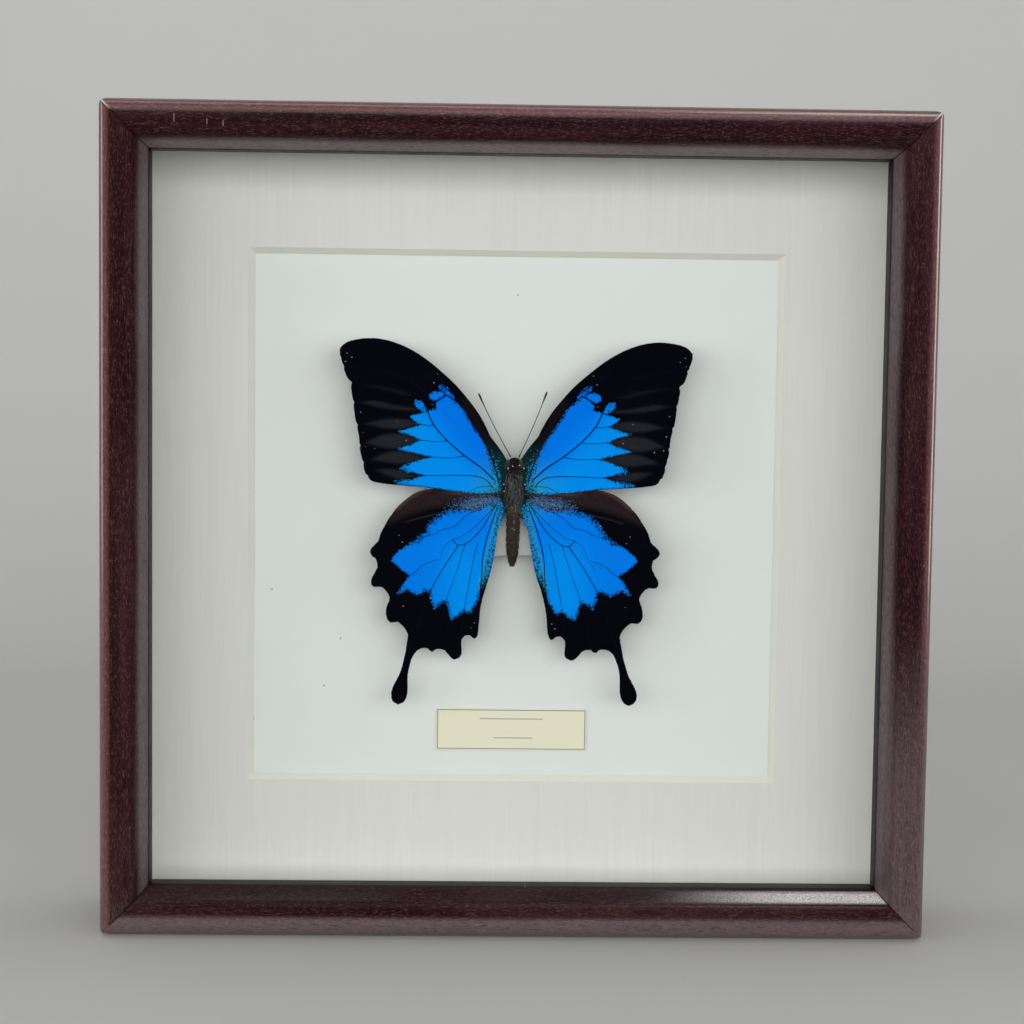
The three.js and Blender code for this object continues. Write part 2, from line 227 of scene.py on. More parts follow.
def stained_wood(name, runs):
    """Dark mahogany stain under lacquer, with painted highlights, painted reflections and painted shade laid
    on where the rail's marks say. runs tells for each axis whether the grain runs along it.
    """
    wood = Finish(name, {"Specular IOR Level": 0.1, "Coat Roughness": 0.16, "Coat IOR": 1.5})
    place = wood.place()

    def drawn(share, scale, detail=2.0, roughness=0.55):
        long = wood.stretched(place, [share if along else 1.0 for along in runs])
        return wood.noise(long, scale, detail, roughness)

    painted_reflection = wood.attribute("painted_reflection")
    lit_shoulder = wood.attribute("lit_shoulder")
    bands = drawn(0.02, 0.42, 4.0)
    clouds = drawn(0.1, 0.1)
    streaks = drawn(0.1, 1.0, 3.0)
    flecks = drawn(0.24, 2.5).rise(0.5, 0.68) * (1 - 0.1 * painted_reflection)
    sparks = drawn(0.35, 2.8).rise(0.6, 0.72) * (1 - 0.1 * painted_reflection)
    pores = drawn(0.16, 2.3, 1.0).rise(0.54, 0.68)
    glint_speckle = wood.noise(place, 3.2, 3.0, 0.7).rise(0.36, 0.6)
    colour = wood.layers(
        swatch(27, 9, 14),
        (bands.rise(0.34, 0.68), (47, 20, 25)),
        (clouds.rise(0.45, 0.7) * 0.5, (62, 38, 42)),
        (streaks.rise(0.42, 0.7) * 0.5, (26, 9, 15)),
        # painted reflection: grey over the inner slopes and over the bottom rail's outer half
        (painted_reflection * (0.5 + 0.35 * bands), (118, 104, 107)),
        # painted highlight: a warmer, lighter band on the outer rounding, where light falls on the rail
        (lit_shoulder * (0.35 + 0.5 * bands), (120, 76, 76)),
        (flecks * (0.13 + 0.15 * lit_shoulder + 0.16 * painted_reflection), (152, 106, 100)),
        (sparks * (0.13 + 0.2 * lit_shoulder + 0.12 * painted_reflection), (196, 154, 146)),
        (pores * 0.38, (16, 6, 10)),
        # painted highlight: a speckled silvery glint on the bottom rail's slope towards its right end
        (wood.attribute("painted_glint") * (0.2 + 0.8 * glint_speckle), (250, 243, 243)),
        # painted shade: near black on the rail's lip and the rebate faces behind it
        (wood.attribute("shaded_lip"), (22, 13, 15)),
        (wood.attribute("seam") * 0.85, (12, 6, 8)),
        # painted highlight: a pale streak along the outer part of the top rail's mitres
        (wood.attribute("mitre_highlight") * 0.9, (226, 220, 214)),
    )
    across, up = wood.part_of(place, "X"), wood.part_of(place, "Z")
    for x, z, height in NICKS:
        stroke = abs(across - x).rise(0.15, 0.05) * abs(up - z).rise(height / 2, height / 2 - 0.3)
        colour = wood.layers(colour, (stroke * 0.5, (176, 170, 178)))
    wood.paint("Base Color", colour)
    wood.paint("Roughness", 0.34 + 0.16 * streaks + 0.06 * flecks)
    wood.paint("Coat Weight", wood.attribute("coat"))
    wood.emboss(flecks * 0.3 + streaks * 0.3 - pores * 0.4, 0.05, 0.45)
    return wood


MAT_FACE_Y = 12.2
MOUNT_FACE_Y = 14.25


def mat_card():
    card = Finish("mat_card", {"Roughness": 0.9, "Specular IOR Level": 0.25})
    place = card.place()
    streak = card.noise(card.stretched(place, (1.0, 1.0, 0.022)), 1.5, 3.0, 0.65)
    broad = card.noise(card.stretched(place, (1.0, 1.0, 0.03)), 0.3, 2.0)
    tooth = card.noise(place, 2.5, 2.0)
    face = card.shade(swatch(220, 220, 215), 0.9 + 0.12 * streak + 0.05 * broad + 0.03 * tooth)
    bevel = card.part_of(place, "Y").rise(MAT_FACE_Y + 0.02, MAT_FACE_Y + 0.1)
    core = card.shade(swatch(228, 229, 217), 0.94 + 0.08 * card.noise(place, 1.2, 3.0))
    card.paint("Base Color", card.blend(bevel, face, core))
    card.emboss(streak * 0.7 + tooth * 0.3, 0.04, 0.5)
    return card


# Specks on the mount: X and Z
SPECKS = [(-0.1, 195.1), (-76.6, 101.6), (-54.8, 86.2), (-60.0, 71.1), (-82.2, 60.3)]


def mount_card():
    card = Finish("mount_card", {"Roughness": 0.8, "Specular IOR Level": 0.3})
    place = card.place()
    mottle = card.noise(place, 0.05, 3.0, 0.6)
    tooth = card.noise(place, 1.8, 2.0)
    colour = card.shade(swatch(228, 233, 229), 0.95 + 0.05 * mottle + 0.02 * tooth)
    for x, z in SPECKS:
        speck = (x, MOUNT_FACE_Y, z)
        apart = card.node("VectorMath", {"operation": "DISTANCE"}, {0: place, 1: speck}, "Value")
        colour = card.layers(colour, (apart.rise(0.34, 0.2) * 0.75, (60, 60, 58)))
    card.paint("Base Color", colour)
    card.emboss(tooth, 0.02, 0.4)
    return card


def spacer_card():
    card = Finish("spacer_card", {"Roughness": 0.88, "Specular IOR Level": 0.25})
    place = card.place()
    fibre = card.noise(place, 1.6, 4.0, 0.6)
    card.paint("Base Color", card.shade(swatch(222, 222, 215), 0.92 + 0.14 * fibre))
    card.emboss(card.noise(place, 3.0, 2.0), 0.03, 0.5)
    return card


LABEL_CENTRE = (-0.45, 57.6)
LABEL_SIZE = (47.6, 13.2)
LABEL_CURL = 0.02
LABEL_RULES = [(61.0, 20.2, 0.0), (54.9, 12.6, 0.6)]  # height, length and middle of the two ruled lines


def label_paper():
    paper = Finish("label_paper", {"Roughness": 0.7, "Specular IOR Level": 0.35})
    place = paper.place()
    across = paper.part_of(place, "X") - LABEL_CENTRE[0]
    up = paper.part_of(place, "Z")
    fibre = paper.noise(paper.stretched(place, (0.4, 1.0, 1.0)), 2.2, 4.0, 0.6)
    colour = paper.shade(swatch(236, 234, 208), 0.93 + 0.11 * fibre)
    edge = (LABEL_SIZE[0] / 2 - abs(across)).least(LABEL_SIZE[1] / 2 - abs(up - LABEL_CENTRE[1]))
    border = abs(edge - 0.42).rise(0.17, 0.07)
    ink = border * (0.55 + 0.45 * paper.noise(place, 5.0))
    for height, length, middle in LABEL_RULES:
        rule = abs(up - height).rise(0.16, 0.06)
        rule = rule * abs(across - middle).rise(length / 2, length / 2 - 0.3)
        ink = ink.most(rule * 0.8)
    paper.paint("Base Color", paper.blend(ink, colour, swatch(44, 44, 40)))
    paper.emboss(fibre, 0.02, 0.4)
    return paper


def foam():
    block = Finish("white_foam", {"Roughness": 0.95, "Specular IOR Level": 0.2})
    place = block.place()
    bubbles = block.cells(place, 1.6)
    block.paint("Base Color", block.shade(swatch(226, 226, 221), 0.86 + 0.2 * bubbles))
    block.emboss(bubbles, 0.12, 0.8)
    return block


SCREEN_PITCH = 1.6  # of the screen's marks on the rough side of the hardboard


def hardboard():
    board = Finish("hardboard", {"Roughness": 0.72, "Specular IOR Level": 0.35})
    place = board.place()
    fibres = board.noise(board.stretched(place, (1.0, 1.0, 0.35)), 1.1, 5.0, 0.7, 0.8)
    clouds = board.noise(place, 0.035, 3.0)
    chips = board.noise(place, 2.6, 2.0).rise(0.62, 0.72)
    board.paint("Base Color", board.layers(
        swatch(92, 62, 42),
        (fibres.rise(0.3, 0.72), (140, 100, 70)),
        (clouds * 0.35, (84, 60, 44)),
        (chips * 0.5, (62, 40, 27)),
    ))
    turns = 2 * math.pi / SCREEN_PITCH
    weave = (board.part_of(place, "X") * turns).sine() * (board.part_of(place, "Z") * turns).sine()
    board.paint("Roughness", 0.62 + 0.2 * fibres)
    board.emboss(weave * 0.35 + fibres * 0.5, 0.16, 0.8)
    return board


def zinc():
    metal = Finish("zinc_steel", {"Metallic": 1.0, "Roughness": 0.42})
    place = metal.place()
    spangle = metal.chance(place, 0.9)
    smear = metal.noise(metal.stretched(place, (0.3, 1.0, 1.0)), 2.4, 3.0)
    grey_patch = metal.noise(place, 0.5, 3.0).rise(0.5, 0.75)
    metal.paint("Base Color", metal.layers(
        swatch(168, 170, 172), (spangle * 0.5, (196, 198, 200)), (grey_patch * 0.5, (120, 118, 112)),
    ))
    metal.paint("Roughness", 0.32 + 0.2 * smear + 0.15 * grey_patch)
    metal.emboss(smear, 0.02, 0.5)
    return metal


def clear_glass():
    shader = {"Base Color": (0.995, 1.0, 0.997, 1.0), "Roughness": 0.0, "IOR": 1.5}
    return Finish("clear_glass", {**shader, "Transmission Weight": 1.0, "Specular IOR Level": 0.1})


# Making pieces


def solid(name, points, faces, finishes, stands_for, crease, which=None):
    """One piece of the object, of points in millimetres. which gives each face its place in finishes."""
    mesh = bpy.data.meshes.new(name)
    spots = [tuple(MM * float(v) for v in p) for p in points]
    mesh.from_pydata(spots, [], [tuple(map(int, f)) for f in faces])
    for finish in finishes:
        mesh.materials.append(finish.material)
    if which is not None:
        mesh.polygons.foreach_set("material_index", np.asarray(which, np.int32))
    mesh.shade_smooth()
    mesh.set_sharp_from_angle(angle=math.radians(crease))
    mesh.update()
    made = bpy.data.objects.new(name, mesh)
    bpy.context.scene.collection.objects.link(made)
    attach(made, "root")
    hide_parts(*stands_for)
    return made


def laid(points, matrix):
    """Points moved by a matrix."""
    matrix = np.array(matrix)
    return points @ matrix[:3, :3].T + matrix[:3, 3]


def record(piece, name, values):
    """Keeps one number for each point of a piece, which its finish reads."""
    layer = piece.data.attributes.new(name, "FLOAT", "POINT")
    layer.data.foreach_set("value", np.asarray(values, np.float32))


def skin(rows, around, closed=True):
    """Four-sided faces over rows of points, row after row."""
    faces = []
    for row in range(rows - 1):
        for i in range(around if closed else around - 1):
            a, b = row * around + i, row * around + (i + 1) % around
            faces.append((a, b, b + around, a + around))
    return faces


def bar(rows, around):
    """The skin of a bar, with its two ends."""
    first = range(around)
    return skin(rows, around) + [tuple(first)[::-1], tuple((rows - 1) * around + i for i in first)]


def ball(centre, radii, around, rows, rough=0.0):
    """An egg or, with some roughness, a lump."""
    points = []
    for row in range(rows + 1):
        polar = math.pi * row / rows
        for i in range(around):
            turn = 2 * math.pi * i / around
            grow = rng.uniform(1 - rough, 1 + rough) if rough and 0 < row < rows else 1.0
            way = (math.sin(polar) * math.cos(turn), math.sin(polar) * math.sin(turn), math.cos(polar))
            points.append(np.array(centre) + grow * np.array(way) * radii)
    return np.array(points), [face[::-1] for face in skin(rows + 1, around)]


def bend(start, control, end, steps):
    """A quadratic curve, without its start."""
    t = np.linspace(0, 1, steps + 1)[1:, None]
    start, control, end = map(np.array, (start, control, end))
    return (1 - t) ** 2 * start + 2 * t * (1 - t) * control + t**2 * end


def eased(points, steps, closed=False):
    """A smooth line through points."""
    points = np.asarray(points, float)
    if closed:
        padded = np.vstack([points[-1:], points, points[:2]])
    else:
        padded = np.vstack([2 * points[0] - points[1], points, 2 * points[-1] - points[-2]])
    line = []
    for a, b, c, d in zip(padded, padded[1:], padded[2:], padded[3:]):
        for t in np.arange(steps) / steps:
            line.append(0.5 * (2 * b + (c - a) * t + (2 * a - 5 * b + 4 * c - d) * t**2
                               + (3 * b - a - 3 * c + d) * t**3))
    if not closed:
        line.append(points[-1])
    return np.array(line)


def smooth_step(value, low, high):
    t = np.clip((value - low) / (high - low), 0, 1)
    return t * t * (3 - 2 * t)


# Moulding

HALF = 125.0
RAIL_WIDTH = 14.3
REBATE_WALL = 7.2
CREST_Y = -24.0
LIP_BACK_Y = -9.5
RAIL_BACK_Y = 22.5
# Stations of the section: distance in from the outer face, and Y
OUTER_FRONT = (0.0, CREST_Y + 5.2)
CREST_START = (2.6, CREST_Y + 1.0)
CREST_END = (9.6, CREST_Y + 0.9)
SLOPE_START = (11.1, CREST_Y + 2.6)
SLOPE_END = (13.8, -16.2)
LIP_FRONT = (RAIL_WIDTH, -14.7)
CORNER_RADIUS = 3.2
MITRE_GAP = 0.05
SEAM_SINK, SEAM_REACH = 0.16, 0.32  # how far the face sinks at a mitre, and over what distance
STRAIGHT_HALF = 104.0  # half the length in which a rail's rows are evenly apart
SIDES = ("bottom", "left", "top", "right")  # each a quarter turn from the one before
COAT = 0.8
PAINTED_REFLECTION = {"top": 1.0, "left": 0.85, "right": 0.75}  # painted grey reflection on the inner slopes, standing in for the pale mat mirrored in the lacquer
OUTER_PAINTED_REFLECTION = 0.75  # painted grey reflection on the outer half of the bottom rail, standing in for the floor mirrored there
REFLECTION_TOP, REFLECTION_FOOT = 105, 40  # heights between which the right rail takes on a painted grey reflection across its whole width
GLINT_FROM, GLINT_TO = 40, 92  # stretch of the bottom rail over which its slope carries a painted silvery glint
SEAM_WIDTH, MITRE_HIGHLIGHT_WIDTH = 0.2, 0.5
# Distances in from the outer face between which each mark comes in, or goes out again
SLOPE_IN = (11.2, 12.5)
RIDGE_IN, RIDGE_OUT = (10.9, 11.6), (13.7, 13.2)
OUTER_OUT = (7.6, 5.4)
LIP_IN = (13.9, 14.2)
LIT_SHOULDER_OUT = (4.2, 2.4)
CREST_IN, CREST_OUT = (6.5, 8.8), (11.6, 10.8)
MITRE_HIGHLIGHT_OUT = (4.4, 1.6)


def rail_section():
    """Distance in from the outer face, and Y, from the back of the outer face round to the rebate."""
    return np.vstack([
        np.linspace((0.25, RAIL_BACK_Y), (0.0, RAIL_BACK_Y - 0.25), 3),
        np.linspace((0.0, RAIL_BACK_Y - 2), OUTER_FRONT, 12),
        bend(OUTER_FRONT, (0.3, CREST_Y + 2.1), CREST_START, 12),
        bend(CREST_START, (6.1, CREST_Y - 0.95), CREST_END, 18),
        bend(CREST_END, (10.4, CREST_Y + 1.3), SLOPE_START, 8),
        np.linspace(SLOPE_START, SLOPE_END, 8)[1:],
        bend(SLOPE_END, (RAIL_WIDTH, -15.3), LIP_FRONT, 5),
        np.linspace(LIP_FRONT, (RAIL_WIDTH, LIP_BACK_Y), 4)[1:],
        [(REBATE_WALL, LIP_BACK_Y), (REBATE_WALL, RAIL_BACK_Y)],
    ])


def rail_points():
    """Rows of the bottom rail's section between its mitres, and how far each point is from a mitre."""
    section = rail_section()
    end = HALF - section[:, 0] - MITRE_GAP
    share = 1 - (1 - np.linspace(0, 1, 19)[1:]) ** 2.2
    rows, away = [], []
    for x in np.linspace(-STRAIGHT_HALF, STRAIGHT_HALF, 53):
        rows.append(np.column_stack([np.full(len(section), x), section[:, 1], section[:, 0]]))
        away.append(np.full(len(section), HALF))
    for part in share:
        to_seam = (1 - part) * (end - STRAIGHT_HALF)
        sunk = SEAM_SINK * np.exp(-((to_seam / SEAM_REACH) ** 2)) * (section[:, 1] < LIP_BACK_Y)
        rows.append(np.column_stack([end - to_seam, section[:, 1] + sunk, section[:, 0]]))
        rows.insert(0, rows[-1] * (-1, 1, 1))
        away.append(to_seam)
        away.insert(0, to_seam)
    points = np.array(rows)
    centre = np.array([HALF - CORNER_RADIUS, CORNER_RADIUS])
    over = np.column_stack([np.abs(points[..., 0]).ravel(), points[..., 2].ravel()]) - centre
    length = np.linalg.norm(over, axis=1)
    out = (over[:, 0] > 0) & (over[:, 1] < 0) & (length > CORNER_RADIUS)
    over[out] *= (CORNER_RADIUS / length[out])[:, None]
    pulled = over + centre
    flat = points.reshape(-1, 3)
    flat[out, 0] = np.sign(flat[out, 0]) * pulled[out, 0]
    flat[out, 2] = pulled[out, 1]
    return points, np.array(away)


def make_rails():
    level = stained_wood("stained_wood_level", (True, False, False))
    upright = stained_wood("stained_wood_upright", (False, False, True))
    rows, away = rail_points()
    count, around = rows.shape[:2]
    inset, behind = rail_section().T
    slope = np.tile(smooth_step(inset, *SLOPE_IN) * (behind < -15.6), count)
    ridge = smooth_step(inset, *RIDGE_IN) * smooth_step(inset, *RIDGE_OUT)
    ridge = np.tile(ridge * (behind < -15), count)
    outer = np.tile(smooth_step(inset, *OUTER_OUT) * (behind < -16), count)
    # the lip and the faces behind it, painted dark as shade and left without coat
    shaded_lip = np.tile(np.maximum(smooth_step(inset, *LIP_IN), (inset > 1) & (behind > -15)), count)
    lit_shoulder = np.tile(smooth_step(inset, *LIT_SHOULDER_OUT) * (behind < -16), count)
    crest = np.tile(smooth_step(inset, *CREST_IN) * smooth_step(inset, *CREST_OUT), count)
    seam = np.exp(-((away.ravel() / SEAM_WIDTH) ** 2)) * np.tile(inset > 3.5, count)
    # painted highlight along the mitres' outer part, kept to the top rail below
    mitre_highlight = np.exp(-((away.ravel() / MITRE_HIGHLIGHT_WIDTH) ** 2))
    mitre_highlight = mitre_highlight * np.tile(smooth_step(inset, *MITRE_HIGHLIGHT_OUT) * (behind < -18), count)
    middle = Matrix.Translation((0, 0, HALF))
    x = rows[..., 0].ravel()
    for turn, side in enumerate(SIDES):
        quarter = middle @ Matrix.Rotation(turn * math.pi / 2, 4, "Y") @ middle.inverted()
        points = laid(rows.reshape(-1, 3), quarter)
        finish = upright if turn % 2 else level
        piece = solid(
            "moulding_" + side, points, bar(count, around), [finish], ["rail_" + side], 38,
        )
        coat = COAT * (1 - shaded_lip) * (1 - 0.85 * crest) * (1 - 0.7 * slope * (side == "bottom"))
        # painted reflection: towards its foot the right rail is greyed over its whole width
        grey_patch = smooth_step(points[:, 2], REFLECTION_TOP, REFLECTION_FOOT) * (side == "right")
        # painted reflection on the slopes, on the bottom rail's outer half and over the lower right rail
        painted_reflection = slope * PAINTED_REFLECTION[side] if side in PAINTED_REFLECTION else outer * OUTER_PAINTED_REFLECTION
        marks = {"shaded_lip": shaded_lip, "coat": coat, "seam": seam, "mitre_highlight": mitre_highlight * (side == "top")}
        marks["painted_reflection"] = np.maximum(painted_reflection, 0.6 * grey_patch * (1 - shaded_lip))
        # the painted highlight is left off the bottom rail, whose outer rounding faces down
        marks["lit_shoulder"] = lit_shoulder * (1 - 0.8 * grey_patch) * (side != "bottom")
        # painted glint along the ridge of the bottom rail's slope
        marks["painted_glint"] = ridge * smooth_step(x, GLINT_FROM, GLINT_TO) * (side == "bottom")
        for mark, values in marks.items():
            record(piece, mark, values)


# The butterfly: its own millimetres run outwards and upwards from the middle of its thorax

THORAX_CENTRE = Vector((-0.8, 4.0, 136.0))
SPECIMEN_LEAN = math.radians(0.74)
WING_RISE = math.radians(2.0)
# How each left wing is set: turn, width, and shift along X and Z
LEFT_SETS = {"forewing": (1.1, 0.99, -0.45, -0.1), "hindwing": (2.4, 0.97, -0.6, 0.3)}
WING_Y = {"forewing": -0.6, "hindwing": 0.3}
MEMBRANE = 0.16
# The net's spacing, how far its points stray, and how far they keep from the wing's edge and its lines
GRID = 0.34
GRID_JITTER = 0.05
EDGE_CLEARANCE, LINE_CLEARANCE = 0.16, 0.11
WING_MARKS = ("blue", "teal", "grey", "brown", "dusted", "cyan", "fawn")


def specimen_place():
    return Matrix.Translation(THORAX_CENTRE) @ Matrix.Rotation(SPECIMEN_LEAN, 4, "Y")


def wing_place(kind, side):
    """How a wing lies: from (out, y, up) to the frame's millimetres."""
    sign = 1 if side == "right" else -1
    place = specimen_place() @ Matrix.Rotation(-sign * WING_RISE, 4, "Z")
    if sign < 0:
        turn, width, x, z = LEFT_SETS[kind]
        place = place @ Matrix.Translation((x, 0, z)) @ Matrix.Rotation(-math.radians(turn), 4, "Y")
        place = place @ Matrix.Scale(width, 4, (1, 0, 0)) @ Matrix.Scale(-1, 4, (1, 0, 0))
    return place


def wing_edge(kind, side, place):
    """The ring of (out, up) points round the front of the wing's CAD node."""
    mesh = frame["nodes"][kind + "_" + side].data
    back = place.inverted()
    spots = [back @ (v.co / MM) for v in mesh.vertices]
    front = min(s.y for s in spots)
    key = lambda i: (round(spots[i].x, 3), round(spots[i].z, 3))
    following = {}
    mesh.calc_loop_triangles()
    edges = set()
    for triangle in mesh.loop_triangles:
        if all(spots[i].y < front + 0.01 for i in triangle.vertices):
            corners = [key(i) for i in triangle.vertices]
            edges.update(zip(corners, corners[1:] + corners[:1]))
    for a, b in edges:
        if (b, a) not in edges:
            following[a] = b
    ring = [next(iter(following))]
    while following[ring[-1]] != ring[0]:
        ring.append(following[ring[-1]])
    return np.array(ring)


def reach(spots, line):
    """How far each spot is from a line, and how far along the line the nearest point is."""
    line = np.asarray(line, float)
    spans = np.diff(line, axis=0)
    lengths = np.maximum(np.linalg.norm(spans, axis=1), 1e-9)
    travelled = np.concatenate([[0], np.cumsum(lengths)])
    gap = np.full(len(spots), np.inf)
    share = np.zeros(len(spots))
    for start, span, length, before in zip(line, spans, lengths, travelled):
        t = np.clip((spots - start) @ span / length**2, 0, 1)
        apart = np.linalg.norm(spots - start - t[:, None] * span, axis=1)
        nearer = apart < gap
        gap[nearer] = apart[nearer]
        share[nearer] = (before + t[nearer] * length) / travelled[-1]
    return gap, share


def held(spots, ring):
    """Which spots a ring goes round."""
    inside = np.zeros(len(spots), bool)
    for (x0, z0), (x1, z1) in zip(ring, np.roll(ring, -1, axis=0)):
        if z0 != z1:
            crosses = (z0 > spots[:, 1]) != (z1 > spots[:, 1])
            inside ^= crosses & (spots[:, 0] < x0 + (spots[:, 1] - z0) * (x1 - x0) / (z1 - z0))
    return inside


def depth_in(spots, ring):
    """How deep each spot lies in a ring, and below 0 outside it."""
    ring = np.asarray(ring, float)
    gap, _ = reach(spots, np.vstack([ring, ring[:1]]))
    return np.where(held(spots, ring), gap, -gap)


# Forewing markings

FORE_FIELD = [
    (5, -0.2), (5.8, 3.9), (7, 7.7), (8.3, 11.3), (10, 14.4), (12.3, 17.5), (14.2, 20.5), (15.7, 23.3),
    (17.6, 25.2), (19.1, 26.6), (20.9, 27.6), (22.7, 26.6), (24, 25.4), (23.8, 23.6), (26.4, 23.1),
    (28.2, 22.5), (32.2, 21.3), (30.6, 19.8), (28.4, 18.8), (33.3, 17.2), (35.9, 16.7), (32.2, 15.7),
    (28.5, 13.9), (32.3, 12.3), (36.1, 11.3), (32.4, 10.4), (28.6, 9.6), (25.4, 8.7), (28.7, 7.9),
    (32.5, 6.5), (35, 5.2), (31.8, 4.2), (27.7, 3.1), (30.7, 1.9), (34.9, 1.1), (36.8, 0.7),
    (32.7, 0.1), (27.4, -0.4), (21.4, -1.2), (15.4, -2.1), (10.1, -2.6), (6.3, -2.3),
]
FORE_PATCHES = [
    [(18.6, 26.8), (19, 28.3), (20.5, 30), (22, 31), (23.2, 31.3), (23.1, 29.9), (22, 29.1),
     (21.1, 28.2), (20.2, 27.6)],
    [(21.5, 28), (22.4, 28.8), (24.3, 29), (26, 28.2), (26.2, 27), (24.9, 26.2), (23.6, 26.5), (22.5, 27.2)],
    [(26.9, 22.9), (27.8, 24.8), (28.7, 26.1), (30.6, 26.2), (30.8, 25.2), (29.9, 23.9), (28.2, 22.8)],
]
PATCH_COVER = [0.74, 0.97, 0.78]  # how closely blue scales cover each patch
FORE_RAYS = [
    (1.0, [(28.4, 18.8), (30.9, 20.2), (34.3, 21), (39.6, 20.9), (44.1, 19.9), (47.2, 19), (43.4, 17.8),
           (39.3, 17), (34.1, 17)]),
    (1.0, [(28.5, 13.9), (31.5, 15.5), (35.2, 16.4), (40.5, 16.1), (43.9, 14.7), (46.6, 13), (42.9, 11.6),
           (38.4, 10.8), (34.2, 11.4)]),
    (1.0, [(25.4, 8.7), (28.6, 9.6), (32.4, 10.6), (36.1, 11.1), (41, 10.1), (44.9, 7.7), (41.1, 6.9),
           (36.3, 6.2), (31.7, 6.6)]),
    (0.9, [(27.7, 2.9), (31.4, 4), (35.5, 5.2), (40.1, 5.5), (43.5, 4.8), (40.1, 2.9), (36.4, 1.5),
           (31.9, 1.7)]),
    (0.85, [(29.4, 22.9), (30.4, 24.3), (35.7, 25), (42.4, 26.5), (45.8, 26.2), (48.1, 25.4), (42.5, 23.6),
            (35.8, 22.7), (30.5, 22.6)]),
    (0.5, [(30.7, 27.8), (34.1, 29.4), (39.3, 30.7), (45.3, 31.2), (48.3, 30.7), (43.1, 29.5), (37.1, 28),
           (33.4, 27.2)]),
    (0.4, [(32.8, 32.8), (36.9, 34), (41, 34.9), (45.2, 35), (41.4, 34.3), (37, 33.3)]),
]
# Half width at the start and at the end of each vein, and its points
FORE_VEINS = [
    (0.21, 0.17, [(5.9, 1.8), (9.9, 5.5), (15.1, 9.2), (20.6, 13.9), (24.8, 18.7), (26.6, 22.7),
                  (26.9, 24.7)]),
    (0.09, 0.07, [(24.8, 18.6), (26.9, 18.5), (28.7, 18.8), (38, 19.2), (48.8, 18.6)]),
    (0.09, 0.07, [(20.6, 13.7), (24.4, 13.5), (28.5, 13.9), (37, 13.8), (47.8, 12.2)]),
    (0.09, 0.07, [(15.1, 9.1), (19.6, 8.5), (25.4, 8.7), (35, 8.6), (46.9, 6.8)]),
    (0.13, 0.07, [(6.3, -0.6), (8.1, 1.5), (11.1, 2.8), (16.7, 3.1), (22.8, 3.1), (27.7, 3), (36, 3.3),
                  (45, 2.6)]),
    (0.07, 0.05, [(6.7, -0.3), (10.1, -0.4), (12, -1.1), (13.5, -2.1)]),
    (0.1, 0.07, [(26.6, 22.7), (28.2, 22.7), (29.7, 22.6), (38, 24.2), (49.8, 25.6)]),
    (0.12, 0.1, [(18.5, 26.6), (20.9, 27.8), (24, 25.8), (25.1, 25.5), (26.9, 24.7)]),
    (0.08, 0.06, [(21, 27.8), (22, 29.3), (22.4, 30.6)]),
    (0.22, 0.15, [(4.4, 0.9), (5.7, 5.8), (7.9, 11.5), (11.5, 17.6), (15.8, 24.5), (19, 28.3), (30, 36.5)]),
    (0.08, 0.06, [(26.9, 24.7), (29, 27.2), (36, 30.2), (50.6, 31.4)]),
    (0.08, 0.06, [(25.1, 25.5), (30, 30.6), (38, 34.6), (52.6, 36.6)]),
]
FORE_NICKS = [2.6, 6.8, 12.2, 18.6, 25.6, 31.4, 36.6]  # heights at which veins meet the outer edge
FORE_OUTER = 43.0  # how far out the worn outer edge starts
FORE_DUST = [
    (23.7, 34.4), (24.8, 31.7), (51.8, 40.6), (50.3, 39.3), (52.2, 38), (36.3, 19.7), (33.4, 13.8),
    (43.2, 11.3), (46, 11.9), (47.5, 22.5), (46.8, 16.2), (25.3, 24.9),
]

# Hindwing markings

HIND_FIELD = [
    (4.3, -5.7), (7.2, -6.7), (9.7, -7.6), (12.8, -8.2), (17.6, -8.1), (21.9, -9), (24.3, -10.2),
    (26.5, -12.5), (27.8, -14.6), (30.7, -17.2), (34.4, -18.8), (37.3, -20.7), (39, -23), (35.7, -25.9),
    (33.2, -27.6), (35.4, -30.6), (36.9, -33.3), (34.1, -32.1), (31.2, -33.8), (28.3, -32.4),
    (26.5, -32.7), (26.4, -35.2), (25.4, -37.9), (24.5, -36.7), (21.6, -35.8), (20.9, -38.6), (20, -41.6),
    (17.8, -40.3), (16.1, -39), (14.2, -39.8), (11.9, -36.2), (10.7, -31.2), (9.1, -26.9), (7.6, -21.2),
    (6.2, -16.2), (4.8, -10.9), (3.6, -7.7),
]
HIND_DUSTED = [
    (4.3, -5), (7.4, -3.6), (12.5, -4.1), (17.5, -4.6), (20.4, -6), (23.3, -7.6), (21.9, -8.7),
    (17.6, -8), (12.8, -8.2), (9.7, -7.5), (7.2, -6.6),
]
HIND_BROWN = [
    (4.2, -2.6), (14.9, -1.5), (23.8, -0.5), (29.2, -0.8), (34.7, -4), (40.3, -11.4), (34.8, -9.4),
    (27.6, -7.2), (21.8, -6.1), (13.2, -4.5),
]
